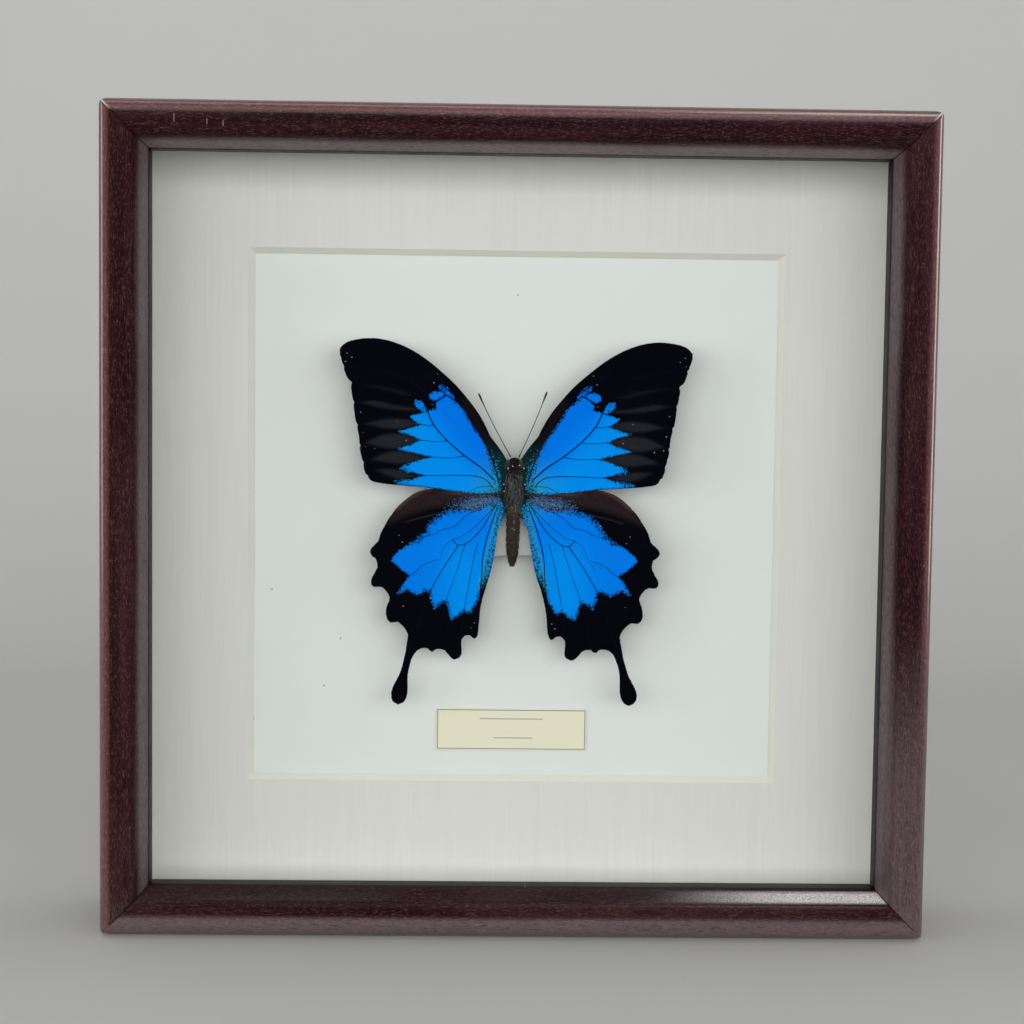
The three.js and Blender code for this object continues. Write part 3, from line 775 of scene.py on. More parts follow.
HIND_VEINS = [
    (0.13, 0.11, [(5.4, -6.7), (7.6, -10.1), (9.9, -13.6), (12.8, -16.6), (15.5, -18.4), (17.7, -18.6),
                  (19.4, -16.9)]),
    (0.13, 0.09, [(17.7, -18.8), (19.4, -21.3), (22.4, -25.5), (24.6, -29.1), (26.3, -31.9), (29.5, -39),
                  (36, -58)]),
    (0.07, 0.05, [(5, -6), (7.6, -8.7), (11.6, -12.5), (16.4, -16), (19.4, -16.9)]),
    (0.08, 0.05, [(9.7, -7.6), (12.9, -8.5), (15.8, -10.2), (17.9, -12.1), (19.1, -12.9), (23.5, -14),
                  (26.7, -15.5), (43, -18.4)]),
    (0.07, 0.06, [(24.5, -23), (29.2, -24.7), (33.2, -27.8), (43.5, -31)]),
    (0.03, 0.02, [(19.4, -16.9), (22.2, -19.1), (23.7, -23), (26, -25.5)]),
    (0.07, 0.05, [(15.5, -18.7), (17.3, -23.9), (19.6, -30.3), (21.4, -34.8), (25.5, -50.5)]),
    (0.07, 0.05, [(11.4, -18.2), (13, -24), (14.7, -32.2), (15.9, -37.9), (18.5, -53.5)]),
    (0.16, 0.12, [(4.7, -6.9), (7, -12.6), (8.9, -18.3), (10, -24), (10.3, -28.7), (12.3, -46.5)]),
    (0.08, 0.06, [(6, -5.1), (7.8, -4)]),
]
HIND_RIM = [(19, 0.6), (24, 0.4), (28.5, -0.6), (33, -2.9), (37, -6.2)]
HIND_FOLD = [(21.9, -8.3), (25.8, -9.1), (30.5, -10.1), (34.2, -11.2)]
HIND_DUST = [
    (36.5, -15.2), (35.6, -37.3), (12.9, -43.1), (13.9, -44.6), (27.2, -12.1), (35.4, -17.3),
    (25.8, -38.4), (26.8, -35),
]


def vein_depth(spots, veins):
    """Distance outside the nearest vein, and below 0 within it."""
    nearest = np.full(len(spots), 9.0)
    for first, last, line in veins:
        gap, share = reach(spots, eased(line, 4))
        nearest = np.minimum(nearest, gap - (first + (last - first) * share))
    return nearest


def forewing_marks(spots):
    """The share of each kind of scale at each spot, and how far the blue is cyan."""
    out, up = spots.T
    root = np.hypot(out - 4.5, up + 0.5)
    near_root = np.exp(-((root / 6.5) ** 2))
    costal = reach(spots, FORE_FIELD[:10])[0]
    soft = 0.38 + 0.5 * np.exp(-((costal / 1.2) ** 2)) + 1.6 * near_root
    soft += 0.7 * smooth_step(out, 29, 35) * smooth_step(up, 9, 5)
    depth = depth_in(spots, FORE_FIELD)
    blue = smooth_step(depth / soft, -1.0, 1.0)
    for share, patch in zip(PATCH_COVER, FORE_PATCHES):
        blue = np.maximum(blue, share * smooth_step(depth_in(spots, patch), -0.35, 0.3))
    haze = 0.45 * smooth_step(out + up, 24, 8) * np.exp(-np.maximum(costal - 0.2, 0) / 0.8) + 0.4 * near_root
    blue = np.maximum(blue, np.where(depth < 0, haze, 0))
    teal = np.maximum(near_root, smooth_step(-depth, -0.9, 0.6) * smooth_step(out + up, 26, 8))
    blue *= smooth_step(out, 2.8, 4.8)
    grey = np.zeros(len(spots))
    for share, ray in FORE_RAYS:
        grey = np.maximum(grey, share * smooth_step(depth_in(spots, eased(ray, 3, True)), -0.3, 1.5))
    brown = 0.25 * smooth_step(reach(spots, [(6, 8), (12, 21), (15, 26)])[0], 2.2, 0.6)
    below = (1.09 * out - 4.6 - up) / 1.48
    cyan = 0.15 + 0.85 * smooth_step(below, -3, 7)
    return {"blue": blue, "teal": teal, "grey": grey, "brown": brown, "cyan": cyan}


def hindwing_marks(spots):
    out, up = spots.T
    root = np.hypot(out - 4.5, up + 6)
    top = reach(spots, HIND_FIELD[:10])[0]
    inner = reach(spots, HIND_FIELD[31:])[0]
    soft = 0.5 + 0.45 * smooth_step(up, -27, -33) + 0.5 * np.exp(-((inner / 1.5) ** 2))
    soft += 1.5 * np.exp(-((top / 2.0) ** 2)) * smooth_step(out, 14, 19) + np.exp(-((root / 4) ** 2))
    depth = depth_in(spots, HIND_FIELD)
    blue = smooth_step(depth / soft, -1.0, 1.0)
    margin = smooth_step(inner, 2.8, 0.8) * smooth_step(up, -33, -26) * (depth < 0)
    blue = np.maximum(blue, 0.66 * margin) * smooth_step(out, 1.6, 3.4)
    teal = np.maximum(0.8 * np.exp(-((root / 5) ** 2)), 0.8 * smooth_step(inner, 2.6, 0.4) * (depth < 1.2))
    band = depth_in(spots, eased(HIND_DUSTED, 3, True))
    brown = smooth_step(depth_in(spots, eased(HIND_BROWN, 3, True)), -1.5, 1.5)
    fold = smooth_step(reach(spots, HIND_FOLD)[0], 0.4, 0.1)
    cyan = 0.3 + 0.7 * np.exp(-(((out - 16) / 9) ** 2)) * smooth_step(-up, 10, 26)
    strip = smooth_step(up, -3.6, -2.4) * smooth_step(out, 24, 16)
    dusted = smooth_step(band, -1.6, 1.6) * smooth_step(out, 24, 10) * (1 - strip)
    fawn = np.maximum(smooth_step(reach(spots, HIND_RIM)[0], 1.9, 0.3), 0.85 * strip)
    shares = (blue, teal, 0.8 * fold, brown, dusted, cyan, fawn)
    return dict(zip(WING_MARKS, shares))


# Each kind of wing's marks, outlines that its net follows, veins and specks of dust
WINGS = {
    "forewing": (forewing_marks, [FORE_FIELD, *FORE_PATCHES], FORE_VEINS, FORE_DUST),
    "hindwing": (hindwing_marks, [HIND_FIELD], HIND_VEINS, HIND_DUST),
}


def wing_sheet(ring, fields, veins):
    """A fine triangle net over a wing, with edges along its veins and markings."""
    low, high = ring.min(0), ring.max(0)
    rows = np.arange(low[1], high[1], GRID * math.sqrt(3) / 2)
    spots = []
    for i, up in enumerate(rows):
        out = np.arange(low[0] + (i % 2) * GRID / 2, high[0], GRID)
        spots.append(np.column_stack([out, np.full(len(out), up)]))
    spots = np.vstack(spots)
    spots = spots + rng.uniform(-GRID_JITTER, GRID_JITTER, spots.shape)
    spots = spots[held(spots, ring)]
    lines = [eased(line, 4) for *_, line in veins]
    lines += [np.vstack([field, field[:1]]) for field in map(np.array, fields)]
    keep = reach(spots, np.vstack([ring, ring[:1]]))[0] > EDGE_CLEARANCE
    for line in lines:
        keep &= reach(spots, line)[0] > LINE_CLEARANCE
    spots = spots[keep]
    corners = [ring, spots]
    edges = []
    start = len(ring) + len(spots)
    for line in lines:
        fine = []
        for a, b in zip(line, line[1:]):
            pieces = max(1, round(np.linalg.norm(b - a) / GRID))
            fine += [a + (b - a) * k / pieces for k in range(pieces)]
        fine = np.array(fine + [line[-1]])
        inside = held(fine, ring)
        for k in range(len(fine) - 1):
            if inside[k] and inside[k + 1]:
                edges.append((start + k, start + k + 1))
        corners.append(fine)
        start += len(fine)
    corners = np.vstack(corners)
    outline = list(range(len(ring)))
    made = delaunay_2d_cdt([Vector(c) for c in corners.tolist()], edges, [outline], 1, 1e-4)
    net = np.array([tuple(v) for v in made[0]])
    faces = np.array([f for f in made[2] if len(f) == 3])
    return net, faces


def wing_upper():
    scales = Finish("wing_upper", {"Roughness": 0.6, "Specular IOR Level": 0.04})
    place = scales.place()
    chance = scales.chance(place, 4.1)
    second = scales.chance(scales.stretched(place, (1.0, 1.0, 1.3)), 4.6)
    fine = scales.noise(place, 4.5, 2.0)
    blue = scales.attribute("blue")
    grey = scales.attribute("grey")
    ground = scales.blend(second, swatch(1, 1, 6), swatch(4, 6, 14))
    umber = scales.blend(second, swatch(26, 19, 22), swatch(46, 36, 38))
    ground = scales.blend(scales.attribute("brown"), ground, umber)
    ground = scales.layers(
        ground,
        (scales.attribute("fawn") * 0.8, (82, 62, 54)),
        (scales.attribute("teal") * (0.25 + 0.4 * second), (18, 62, 62)),
    )
    ray = scales.blend(grey * 0.7 + second * 0.3, swatch(9, 10, 14), swatch(36, 38, 42))
    ground = scales.blend((grey * 1.6).least(1.0), ground, ray)
    powder = scales.blend(second, swatch(38, 98, 164), swatch(112, 134, 158))
    ground = scales.blend((scales.attribute("dusted") * 0.62).over(scales.chance(place, 6.4)), ground, powder)
    lit = scales.blend(scales.attribute("cyan"), swatch(0, 112, 232), swatch(0, 142, 238))
    lit = scales.shade(lit, 0.93 + 0.14 * second)
    green = scales.blend(second, swatch(0, 138, 196), swatch(64, 168, 128))
    lit = scales.blend(scales.attribute("teal") * (0.25 + 0.75 * second), lit, green)
    covered = blue.over(chance * 0.96 + 0.02)
    colour = scales.blend(covered, ground, lit)
    line = (scales.attribute("vein") + (fine - 0.5) * 0.1).rise(0.1, -0.05)
    colour = scales.blend(line * (0.2 + 0.75 * covered), colour, swatch(0, 9, 62))
    scales.paint("Base Color", colour)
    scales.paint("Roughness", 0.72 - 0.22 * covered)
    scales.emboss(scales.cells(place, 4.6), 0.02, 0.4)
    return scales


def wing_under():
    scales = Finish("wing_under", {"Roughness": 0.8, "Specular IOR Level": 0.15})
    place = scales.place()
    second = scales.chance(place, 3.0)
    broad = scales.noise(place, 0.2, 3.0)
    scales.paint("Base Color", scales.layers(
        swatch(40, 29, 25),
        (second, (68, 51, 43)),
        (broad.rise(0.45, 0.7) * 0.5, (92, 76, 60)),
        (scales.attribute("vein").rise(0.2, 0.0), (20, 14, 12)),
    ))
    scales.emboss(scales.cells(place, 3.0), 0.03, 0.5)
    return scales


def dust():
    grit = Finish("wing_dust", {"Roughness": 0.9, "Specular IOR Level": 0.2})
    tone = grit.noise(grit.place(), 3.0)
    grit.paint("Base Color", grit.shade(swatch(178, 184, 190), 0.7 + 0.5 * tone))
    return grit


# A wing's edge nearer in than the reach is stretched towards the thorax, as far as the depth
ROOT_REACH = 7.0
ROOT_STRETCH = 1.9
ROOT_DEPTH = 0.8
GATHER = 1.5  # how far a hindwing's inner edge is drawn in


def rooted(kind, ring):
    """A wing's edge drawn in to the thorax, and for a hindwing up under the forewing."""
    out, up = ring.T
    near = smooth_step(up, -9.5, -7.0)
    lift = 0.0
    if kind == "hindwing":
        out = out - GATHER * smooth_step(up, -15.5, -8.5) * smooth_step(out, 9, 5)
        lift = 1.8 * smooth_step(out, 14, 8) * smooth_step(up, -6.0, -4.5)
    inward = np.minimum(out, np.maximum(ROOT_REACH - (ROOT_REACH - out) * ROOT_STRETCH, ROOT_DEPTH))
    return np.column_stack([out + (inward - out) * near, up + lift])


def worn_edge(kind, ring):
    """A wing's edge with its fine crenels, and with nicks where a forewing's veins meet it."""
    ahead = np.roll(ring, -1, axis=0) - np.roll(ring, 1, axis=0)
    away = np.column_stack([ahead[:, 1], -ahead[:, 0]])
    away /= np.linalg.norm(away, axis=1)[:, None]
    steps = np.linalg.norm(ring - np.roll(ring, 1, axis=0), axis=1)
    along = np.cumsum(steps)
    outer = np.ones(len(ring))
    if kind == "forewing":
        outer = smooth_step(ring[:, 0], FORE_OUTER, FORE_OUTER + 2.5)
    wear = 0.02 + 0.075 * outer * (0.5 + 0.5 * np.sin(along * 0.9 + 1.3 * np.sin(along * 0.37)))
    inward = wear * (1 + np.sin(along * 5.1 + 1.7 * np.sin(along * 1.3)))
    if kind == "forewing":
        for height in FORE_NICKS:
            inward += 0.34 * outer * np.exp(-(((ring[:, 1] - height) / 0.55) ** 2))
    turning = np.sum(ring[:, 0] * np.roll(ring[:, 1], -1) - np.roll(ring[:, 0], -1) * ring[:, 1])
    return ring - away * inward[:, None] * (1 if turning > 0 else -1)


def make_wings(finishes):
    for kind, (marks, fields, veins, specks) in WINGS.items():
        for side in ("right", "left"):
            place = wing_place(kind, side)
            ring = worn_edge(kind, rooted(kind, eased(wing_edge(kind, side, place), 9, True)))
            net, faces = wing_sheet(ring, fields, veins)
            count = len(net)
            vein = vein_depth(net, veins)
            edge = reach(net, np.vstack([ring, ring[:1]]))[0]
            swell = 0.12 * np.exp(-((np.maximum(vein, 0) / 0.5) ** 2)) * smooth_step(edge, 0.0, 1.0)
            ripple = 0.07 * np.sin(net[:, 0] * 0.31 + 0.6) * np.sin(net[:, 1] * 0.27)
            y = WING_Y[kind] - swell - ripple
            local = np.vstack([
                np.column_stack([net[:, 0], y, net[:, 1]]),
                np.column_stack([net[:, 0], y + MEMBRANE, net[:, 1]]),
            ])
            front = faces if side == "left" else faces[:, ::-1]
            rear = count + front[:, ::-1]
            rim = [(a, a + count, b + count, b) for a, b in boundary(front)]
            grit, grit_faces = specks_on(specks, side, WING_Y[kind] - 0.1, 2 * count)
            which = [0] * len(front) + [1] * len(rear) + [0] * len(rim) + [2] * len(grit_faces)
            all_faces = [*map(tuple, front), *map(tuple, rear), *rim, *grit_faces]
            piece = solid(
                kind + "_scales_" + side, laid(np.vstack([local, grit]), place), all_faces, finishes,
                [kind + "_" + side], 60, which,
            )
            spread = {**dict.fromkeys(WING_MARKS, np.zeros(count)), **marks(net), "vein": vein}
            for name, values in spread.items():
                record(piece, name, np.concatenate([values, values, np.zeros(len(grit))]))


def boundary(faces):
    """Edges that only one face has, in that face's direction."""
    edges = {(int(a), int(b)) for f in faces for a, b in zip(f, np.roll(f, -1))}
    return [(a, b) for a, b in edges if (b, a) not in edges]


def specks_on(spots, side, y, start):
    """Small flat grains of dust on a wing."""
    points, faces = [], []
    for out, up in spots:
        size = rng.uniform(0.1, 0.2)
        spokes = rng.uniform(0.7, 1.2, 6) * size
        angles = np.arange(6) * math.pi / 3
        first = start + len(points)
        ring = [(out + r * math.cos(a), y - 0.05, up + r * math.sin(a)) for r, a in zip(spokes, angles)]
        points += ring + [(out, y - 0.12, up)]
        for i in range(6):
            a, b = first + i, first + (i + 1) % 6
            faces.append((a, b, first + 6) if side == "left" else (b, a, first + 6))
    return np.array(points), faces


# Body

# The body from the tip of its tail to its head: half width and height
TRUNK = [
    (0.7, -25.4), (0.98, -24.5), (1.25, -23.4), (1.6, -22), (1.88, -20.2), (2.0, -18), (2.12, -13.5),
    (2.15, -9), (2.2, -6), (2.55, -4.2), (2.8, -1.5), (2.8, 1), (2.5, 3.4), (2, 4.4), (2.1, 5.4),
    (2.15, 6.4), (1.85, 7.5), (1.1, 8.3), (0.05, 8.6),
]
TRUNK_CURVE = eased(TRUNK, 8)
BODY_DEPTH = 1.13  # depth of the body over its width
EYE_OUT = 2.05
EYE_SPOT = (-0.3, 6.2)  # Y and height
EYE_RADII = (1.4, 1.7, 1.78)
ANTENNA_FOOT = (1.3, -0.6, 8.8)
ANTENNA_LENGTH = 22.0
ANTENNA_BOW = 0.28
ANTENNA_RINGS = 260  # its fine rings' waves over the whole length, in radians
ANTENNA_SPREAD = {"left": 28.3, "right": 21.8}
ABDOMEN_TOP = -5.6
SEGMENT = 2.35
TIP_FORK = -24.6  # height below which the tip of the tail is notched


def trunk_surface(angle, z):
    """Points on the body, for angles from the front and heights."""
    radius = np.interp(z, TRUNK_CURVE[:, 1], TRUNK_CURVE[:, 0])
    groove = np.where(z < ABDOMEN_TOP, ((ABDOMEN_TOP - z) % SEGMENT) / SEGMENT, 0.5)
    step = 1 + 0.09 * (groove - 0.5) * (z < ABDOMEN_TOP) - 0.08 * np.exp(-((groove / 0.08) ** 2))
    lumps = 1 + 0.03 * np.sin(3 * angle + z * 1.7) * np.sin(z * 2.3) + 0.02 * np.sin(7 * angle + z * 3.1)
    radius = radius * step * lumps
    ridge = 0.05 * np.exp(-((angle / 0.16) ** 2)) * (z > -4) * (z < 4)
    radius = radius * (1 + ridge)
    fork = np.exp(-((np.abs(np.sin(angle)) / 0.28) ** 2)) * smooth_step(z, TIP_FORK, TRUNK[0][1])
    z = z + 1.3 * fork
    return np.column_stack([radius * np.sin(angle), -BODY_DEPTH * radius * np.cos(angle), z])


def body_mesh():
    around, rows = 72, 300
    z = np.linspace(TRUNK[0][1] + 0.02, TRUNK[-1][1] - 0.02, rows)
    angles = np.linspace(-math.pi, math.pi, around, endpoint=False)
    points = np.vstack([trunk_surface(angles, np.full(around, level)) for level in z])
    return points, bar(rows, around)


def strand(root, way, droop, length, width):
    """A tapering hair of three sides, which bends towards droop."""
    way = way / np.linalg.norm(way)
    side = np.cross(way, (0.3, 1.0, 0.2))
    side /= np.linalg.norm(side)
    other = np.cross(way, side)
    points = []
    for share in (0.0, 0.45, 0.8):
        centre = root + length * (share * way + share**2 * droop)
        thick = width * (1 - 0.75 * share)
        for k in range(3):
            turn = 2 * math.pi * k / 3
            points.append(centre + thick * (math.cos(turn) * side + math.sin(turn) * other))
    points.append(root + length * (way + droop))
    faces = skin(3, 3) + [(6, 7, 9), (7, 8, 9), (8, 6, 9)]
    return points, faces


def fur(count, low, high, angles, length, width, lift, sweep):
    """Hair on the trunk between two heights and two angles from the front, and each hair's own tone."""
    points, faces, tones = [], [], []
    for _ in range(count):
        z = rng.uniform(low, high)
        angle = rng.uniform(*angles) * rng.choice((-1, 1))
        root = trunk_surface(np.array([angle]), np.array([z]))[0]
        out = np.array([math.sin(angle), -math.cos(angle), 0.0])
        way = lift * out + np.array([rng.normal(0, 0.1), rng.normal(0, 0.08), -sweep + rng.normal(0, 0.1)])
        start = len(points)
        new, new_faces = strand(root, way, -0.35 * lift * out, length * rng.uniform(0.6, 1.25), width)
        points += new
        faces += [tuple(start + i for i in f) for f in new_faces]
        tones += [rng.uniform()] * len(new)
    return np.array(points), faces, tones


# Heights in the frame between which the thorax turns into its pale collar, and the collar into the abdomen
COLLAR_HEIGHTS = (131.4, 129.8)
ABDOMEN_HEIGHTS = (129.0, 126.8)


def body_shell():
    shell = Finish("insect_body", {"Roughness": 0.75, "Specular IOR Level": 0.3})
    place = shell.place()
    up = shell.part_of(place, "Z")
    mottle = shell.noise(place, 1.4, 4.0, 0.65)
    fine = shell.chance(place, 4.5)
    dark = shell.blend(mottle, swatch(3, 4, 5), swatch(22, 25, 24))
    hind = shell.blend(mottle.rise(0.3, 0.7), swatch(28, 23, 19), swatch(72, 63, 53))
    hind = shell.blend((fine - 0.75) * 1.2, hind, swatch(96, 88, 76))
    collar = shell.blend((fine - 0.45) * 1.4, dark, swatch(120, 122, 112))
    colour = shell.blend(up.rise(*COLLAR_HEIGHTS), dark, collar)
    colour = shell.blend(up.rise(*ABDOMEN_HEIGHTS), colour, hind)
    shell.paint("Base Color", colour)
    shell.emboss(mottle + 0.4 * fine, 0.16, 0.9)
    return shell


def eye_lens():
    lens = Finish("eye", {"Roughness": 0.32, "Specular IOR Level": 0.5})
    place = lens.place()
    facets = lens.cells(place, 6.5)
    tone = lens.noise(place, 0.9, 2.0)
    lens.paint("Base Color", lens.layers(
        swatch(28, 25, 25), (tone, (70, 65, 63)), (facets.rise(0.35, 0.75) * 0.6, (12, 9, 9)),
    ))
    lens.emboss(1 - facets, 0.05, 0.8)
    return lens


def hair(name, dark, pale):
    fibre = Finish(name, {"Roughness": 0.6, "Specular IOR Level": 0.3})
    tone = fibre.attribute("tone")
    fibre.paint("Base Color", fibre.blend(tone**3.5, swatch(*dark), swatch(*pale)))
    return fibre


# The darkest and palest swatch of each kind of hair
HAIRS = {
    "thorax_hair": ((7, 10, 10), (142, 150, 146)),
    "abdomen_hair": ((28, 23, 19), (112, 98, 84)),
    "white_scales": ((196, 198, 192), (232, 232, 226)),
    "root_hair": ((5, 8, 8), (66, 96, 86)),
    "collar_hair": ((24, 26, 23), (164, 166, 154)),
    "head_hair": ((3, 4, 5), (110, 114, 112)),
}
# Count, lowest and highest root, angles from the front, length, width, lift and sweep
FUR = {
    "thorax_hair": (1400, -3.4, 4.6, (0, 1.35), 2.6, 0.055, 0.12, 1.0),
    "head_hair": (260, 4.4, 8.4, (0, 1.3), 0.5, 0.03, 0.5, 0.4),
    "abdomen_hair": (2200, -23.9, -5.0, (0, 1.5), 0.6, 0.025, 0.3, 1.0),
    "collar_hair": (420, -8.4, -4.4, (0, 1.35), 0.9, 0.06, 0.5, 0.7),
    "root_hair": (700, -6.0, 3.2, (1.2, 1.8), 1.4, 0.03, 0.8, 0.7),
}
BARE_TONE = 0.7


def make_body():
    finishes = {"insect_body": body_shell(), "eye": eye_lens()}
    finishes.update({name: hair(name, *tones) for name, tones in HAIRS.items()})
    parts = [("insect_body", *body_mesh())]
    for side in (-1, 1):
        parts.append(("eye", *ball((side * EYE_OUT, *EYE_SPOT), EYE_RADII, 40, 24)))
    for side in (-1, 1):
        for height, size in ROOT_PADS:
            pad = ball((side * PAD_OUT, PAD_Y, height), (*PAD_RADII, size), 20, 12, LUMPINESS)
            parts.append(("insect_body", *pad))
    parts += [(kind, *fur(*growth)) for kind, growth in FUR.items()]
    for spots, size in ((HEAD_DOTS, 0.2), (WING_ROOT_DOTS, 0.2), (BACK_DOTS, 0.11)):
        for spot in spots:
            parts.append(("white_scales", *ball(spot, (size, 0.7 * size, size), 12, 7, LUMPINESS)))
    points, faces, which, tones = [], [], [], []
    for kind, spots, sides, *tone in parts:
        faces += [tuple(len(tones) + i for i in f) for f in sides]
        points.append(spots)
        which += [list(finishes).index(kind)] * len(sides)
        tones += tone[0] if tone else [BARE_TONE] * len(spots)
    placed = laid(np.vstack(points), specimen_place())
    piece = solid(
        "body_and_hair", placed, faces, finishes.values(), ["butterfly_body"], 50, which,
    )
    record(piece, "tone", tones)


LUMPINESS = 0.15
PAD_OUT, PAD_Y = 2.0, 0.3
PAD_RADII = (1.0, 0.85)
ROOT_PADS = [(1.8, 2.4), (-1.6, 2.2), (-4.8, 2.4)]  # height and half height of the pads at the wings' roots
BACK_DOTS = [
    (0.2, -2.5, -11.0), (0.35, -2.5, -11.6), (-0.2, -2.5, -13.2), (0.1, -2.5, -9.2), (0.4, -2.5, -13.6),
]
HEAD_DOTS = [(-2.0, -2.1, 5.3), (-0.6, -2.5, 6.0), (1.5, -2.2, 6.3), (2.9, -1.6, 5.4)]
WING_ROOT_DOTS = [(-3.2, -1.6, 0.2), (-3.0, -1.5, -1.9), (3.3, -1.5, 0.4)]


# How far along the antenna, from 0 to 1, and the half width there
HORN_PROFILE = [
    (0.0, 0.24), (0.03, 0.15), (0.3, 0.12), (0.78, 0.12), (0.84, 0.17), (0.9, 0.26), (0.96, 0.31),
    (0.99, 0.24), (1.0, 0.04),
]


def make_antennae():
    horn = Finish("antenna", {"Roughness": 0.4, "Specular IOR Level": 0.4})
    place = horn.place()
    rings = horn.noise(horn.stretched(place, (0.4, 0.4, 1.0)), 3.2, 1.0)
    horn.paint("Base Color", horn.blend(rings, swatch(10, 9, 9), swatch(40, 36, 34)))
    horn.emboss(rings, 0.05, 0.7)
    share, size = np.array(HORN_PROFILE).T
    around, rows = 12, 140
    turns = np.arange(around) * 2 * math.pi / around
    for side, sign in (("left", -1), ("right", 1)):
        points = []
        for step in np.linspace(0, 1, rows):
            radius = np.interp(step, share, size) * (1 + 0.1 * math.sin(step * ANTENNA_RINGS))
            bow = sign * ANTENNA_BOW * math.sin(math.pi * step)
            along = np.full(around, step * ANTENNA_LENGTH)
            points.append(np.column_stack([radius * np.cos(turns) + bow, radius * np.sin(turns), along]))
        out, y, up = ANTENNA_FOOT
        place = specimen_place() @ Matrix.Translation((sign * out, y, up))
        place = place @ Matrix.Rotation(sign * math.radians(ANTENNA_SPREAD[side]), 4, "Y")
        placed = laid(np.vstack(points), place)
        solid("antenna_horn_" + side, placed, bar(rows, around), [horn], ["antenna_" + side], 50)


# Block and label


def rounded_slab(size, radius, steps=4, cells=12):
    """A box about its centre with rounded edges, as one closed net of points."""
    size = np.array(size, float)
    levels = []
    for axis in range(3):
        half = size[axis] / 2
        arc = half - radius + radius * np.sin(np.linspace(0, math.pi / 2, steps + 1)[1:])
        inner = np.linspace(-(half - radius), half - radius, cells)
        levels.append(np.concatenate([-arc[::-1], inner, arc]))
    index, points, faces = {}, [], []

    def corner(where):
        if where not in index:
            index[where] = len(points)
            at = np.array([levels[a][w] for a, w in enumerate(where)])
            core = np.clip(at, -(size / 2 - radius), size / 2 - radius)
            away = at - core
            points.append(core + away * min(1.0, radius / max(np.linalg.norm(away), 1e-9)))
        return index[where]

    top = len(levels[0]) - 1
    for axis in range(3):
        u, v = [a for a in range(3) if a != axis]
        for end in (0, top):
            for i in range(top):
                for j in range(top):
                    where = []
                    for di, dj in ((0, 0), (1, 0), (1, 1), (0, 1)):
                        spot = [0, 0, 0]
                        spot[axis], spot[u], spot[v] = end, i + di, j + dj
                        where.append(corner(tuple(spot)))
                    flip = (end == 0) != (axis == 1)
                    faces.append(tuple(where[::-1]) if flip else tuple(where))
    return np.array(points), faces


BLOCK_TURN = math.radians(2.0)
BLOCK_WIDTH, BLOCK_HEIGHT = 16.0, 28.0


def make_block(finish):
    low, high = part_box("support_block")
    centre = (low + high) / 2 / MM
    points, faces = rounded_slab((BLOCK_WIDTH, (high.y - low.y) / MM, BLOCK_HEIGHT), 0.5)
    placed = laid(points, Matrix.Translation(centre) @ Matrix.Rotation(-BLOCK_TURN, 4, "Y"))
    solid("foam_block", placed, faces, [finish], ["support_block"], 50)


def make_label(finish):
    low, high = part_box("label_card")
    columns, rows = 60, 18
    points = []
    for y, curl in ((low.y / MM, LABEL_CURL), (high.y / MM, 0.0)):
        for level in np.linspace(low.z, high.z, rows) / MM:
            for across in np.linspace(low.x, high.x, columns) / MM:
                away = (across - LABEL_CENTRE[0]) / (LABEL_SIZE[0] / 2)
                points.append((across, y + curl * (1 - away**2), level))
    count = columns * rows
    front = skin(rows, columns, closed=False)
    faces = front + [tuple(count + i for i in f[::-1]) for f in front]
    faces += [(a, a + count, b + count, b) for a, b in boundary(front)]
    solid("label_paper", points, faces, [finish], ["label_card"], 30)


# Studio


FLOOR_Z = -0.2
NEAR_Y = -60.0
WALL_Y = 900.0
SWEEP_RADIUS = 450.0
STAGE_HALF = 4500
STAGE_FRONT_Y = -3000
WALL_TOP = 4000


def stage_strip(name, profile, finish):
    """A strip of floor or wall, nine metres wide, along a line of (y, z) points."""
    columns = np.linspace(-STAGE_HALF, STAGE_HALF, 19)
    points = [(x * MM, y * MM, z * MM) for y, z in profile for x in columns]
    mesh = bpy.data.meshes.new(name)
    mesh.from_pydata(points, [], skin(len(profile), len(columns), closed=False))
    mesh.materials.append(finish.material)
    mesh.shade_smooth()
    strip = bpy.data.objects.new(name, mesh)
    bpy.context.scene.collection.objects.link(strip)
    strip.visible_transmission = False
    return strip


def make_stage():
    floor = Finish("studio_floor", {"Roughness": 0.9, "Specular IOR Level": 0.1})
    tone = floor.noise(floor.place(), 0.004, 2.0)
    floor.paint("Base Color", floor.shade(swatch(208, 208, 206), 0.97 + 0.04 * tone))
    front = [(y, FLOOR_Z) for y in np.linspace(STAGE_FRONT_Y, NEAR_Y, 12)]
    near = [(y, FLOOR_Z) for y in np.linspace(NEAR_Y, WALL_Y - SWEEP_RADIUS, 12)]
    for t in np.linspace(0, math.pi / 2, 24)[1:]:
        near.append((WALL_Y - SWEEP_RADIUS * (1 - math.sin(t)), FLOOR_Z + SWEEP_RADIUS * (1 - math.cos(t))))
    near += [(WALL_Y, z) for z in np.linspace(SWEEP_RADIUS, WALL_TOP, 10)[1:]]
    stage_strip("studio_floor_front", front, floor).visible_glossy = False
    stage_strip("studio_floor", near, floor)


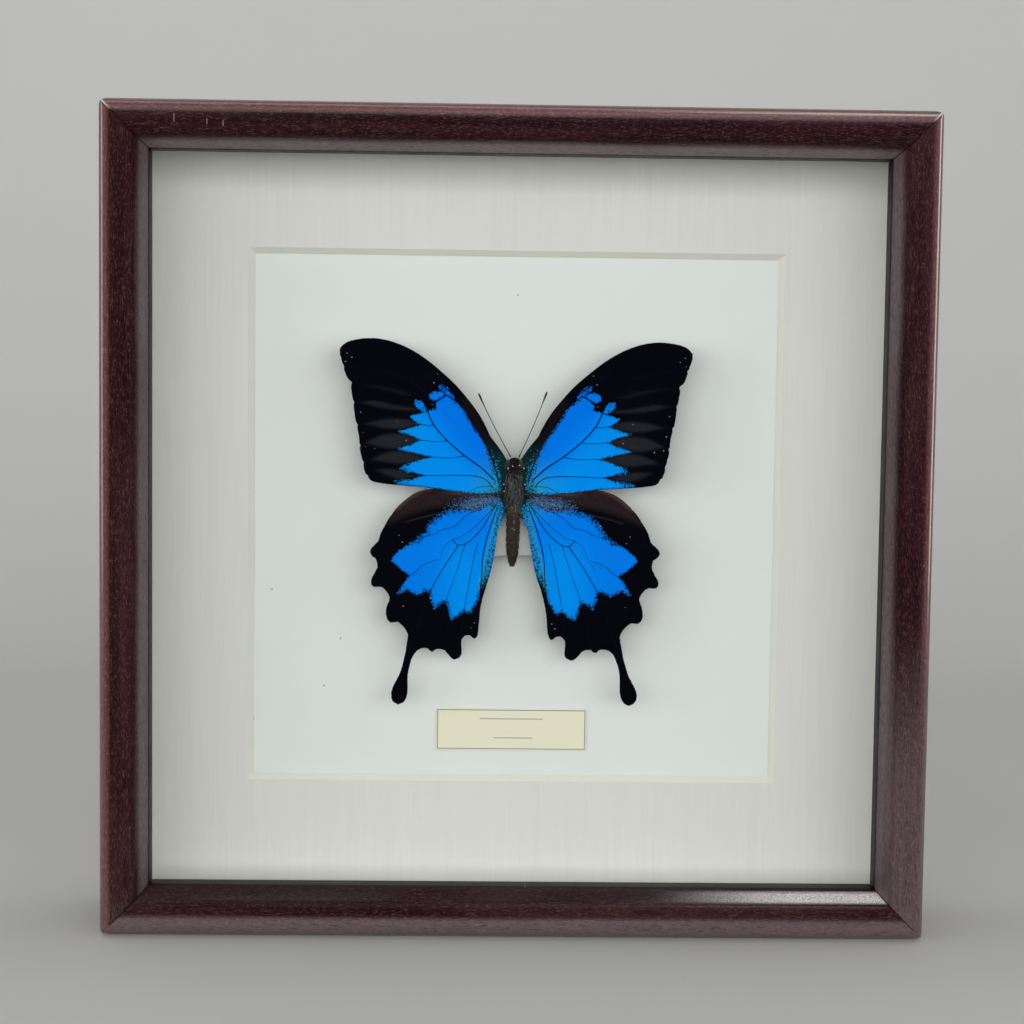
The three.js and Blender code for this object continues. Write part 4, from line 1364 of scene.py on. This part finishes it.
# Each light's place, width and height, and power. Softened lights don't shine back from a surface, and
# sheens do nothing else.
AIM = (0.0, 0.0, 0.125)
SOFTENED = {
    "light_front": ((0.0, -1.25, 0.18), (2.2, 1.0), 24.5),
    "light_left": ((-1.15, -0.75, 0.35), (0.6, 0.8), 4.6),
    "light_right": ((1.15, -0.75, 0.35), (0.6, 0.8), 2.8),
    "light_above": ((0.0, -0.7, 1.15), (1.6, 0.4), 0.6),
}
SHEENS = {
    "sheen_above": ((0.0, -0.7, 1.15), (1.6, 0.4), 2.5),
    "sheen_left": ((-1.1, 0.12, 0.3), (0.3, 0.8), 3.2),
    "sheen_right": ((1.1, 0.12, 0.3), (0.3, 0.8), 5.2),
    "glint": ((0.25, -0.15, 1.0), (0.3, 0.2), 1.2),
}
WALL_LIGHT = ((0.0, 0.1, 1.5), (2.4, 0.6), 9.0)
WALL_AIM = (0.0, 0.9, 0.35)
SKY = 0.015


def soft_light(name, at, size, power, aim=AIM):
    lamp = bpy.data.lights.new(name, "AREA")
    lamp.shape = "RECTANGLE"
    lamp.size, lamp.size_y = size
    lamp.energy = power
    made = bpy.data.objects.new(name, lamp)
    made.location = at
    made.rotation_euler = (Vector(aim) - Vector(at)).to_track_quat("-Z", "Y").to_euler()
    made.visible_camera = False
    bpy.context.scene.collection.objects.link(made)
    return made


def make_lights():
    for name, light in SOFTENED.items():
        made = soft_light(name, *light)
        made.visible_glossy = False
        made.visible_transmission = False
        made.data.cycles.use_multiple_importance_sampling = False
    for name, light in SHEENS.items():
        made = soft_light(name, *light)
        made.visible_diffuse = False
        made.visible_transmission = False
    soft_light("light_wall", *WALL_LIGHT, WALL_AIM)
    world = bpy.data.worlds.new("studio")
    world.use_nodes = True
    sky = world.node_tree.nodes["Background"]
    sky.inputs["Color"].default_value = (1.0, 1.0, 1.0, 1.0)
    sky.inputs["Strength"].default_value = SKY
    bpy.context.scene.world = world


def finish_nodes(finish, *names):
    for name in names:
        for place in frame["nodes"][name].material_slots:
            place.material = finish.material


def main():
    make_lights()
    make_stage()
    make_rails()
    finish_nodes(clear_glass(), "glass_pane")
    frame["nodes"]["glass_pane"].visible_shadow = False
    finish_nodes(mat_card(), "window_mat")
    finish_nodes(mount_card(), "mount_board")
    finish_nodes(spacer_card(), *["spacer_" + side for side in SIDES])
    finish_nodes(hardboard(), "back_panel")
    retainers = ["retainer_" + side + "_" + number for side in SIDES for number in "12"]
    finish_nodes(zinc(), "hanger_plate", "nail_left", "nail_right", *retainers)
    make_label(label_paper())
    make_block(foam())
    make_body()
    make_antennae()
    make_wings([wing_upper(), wing_under(), dust()])


main()
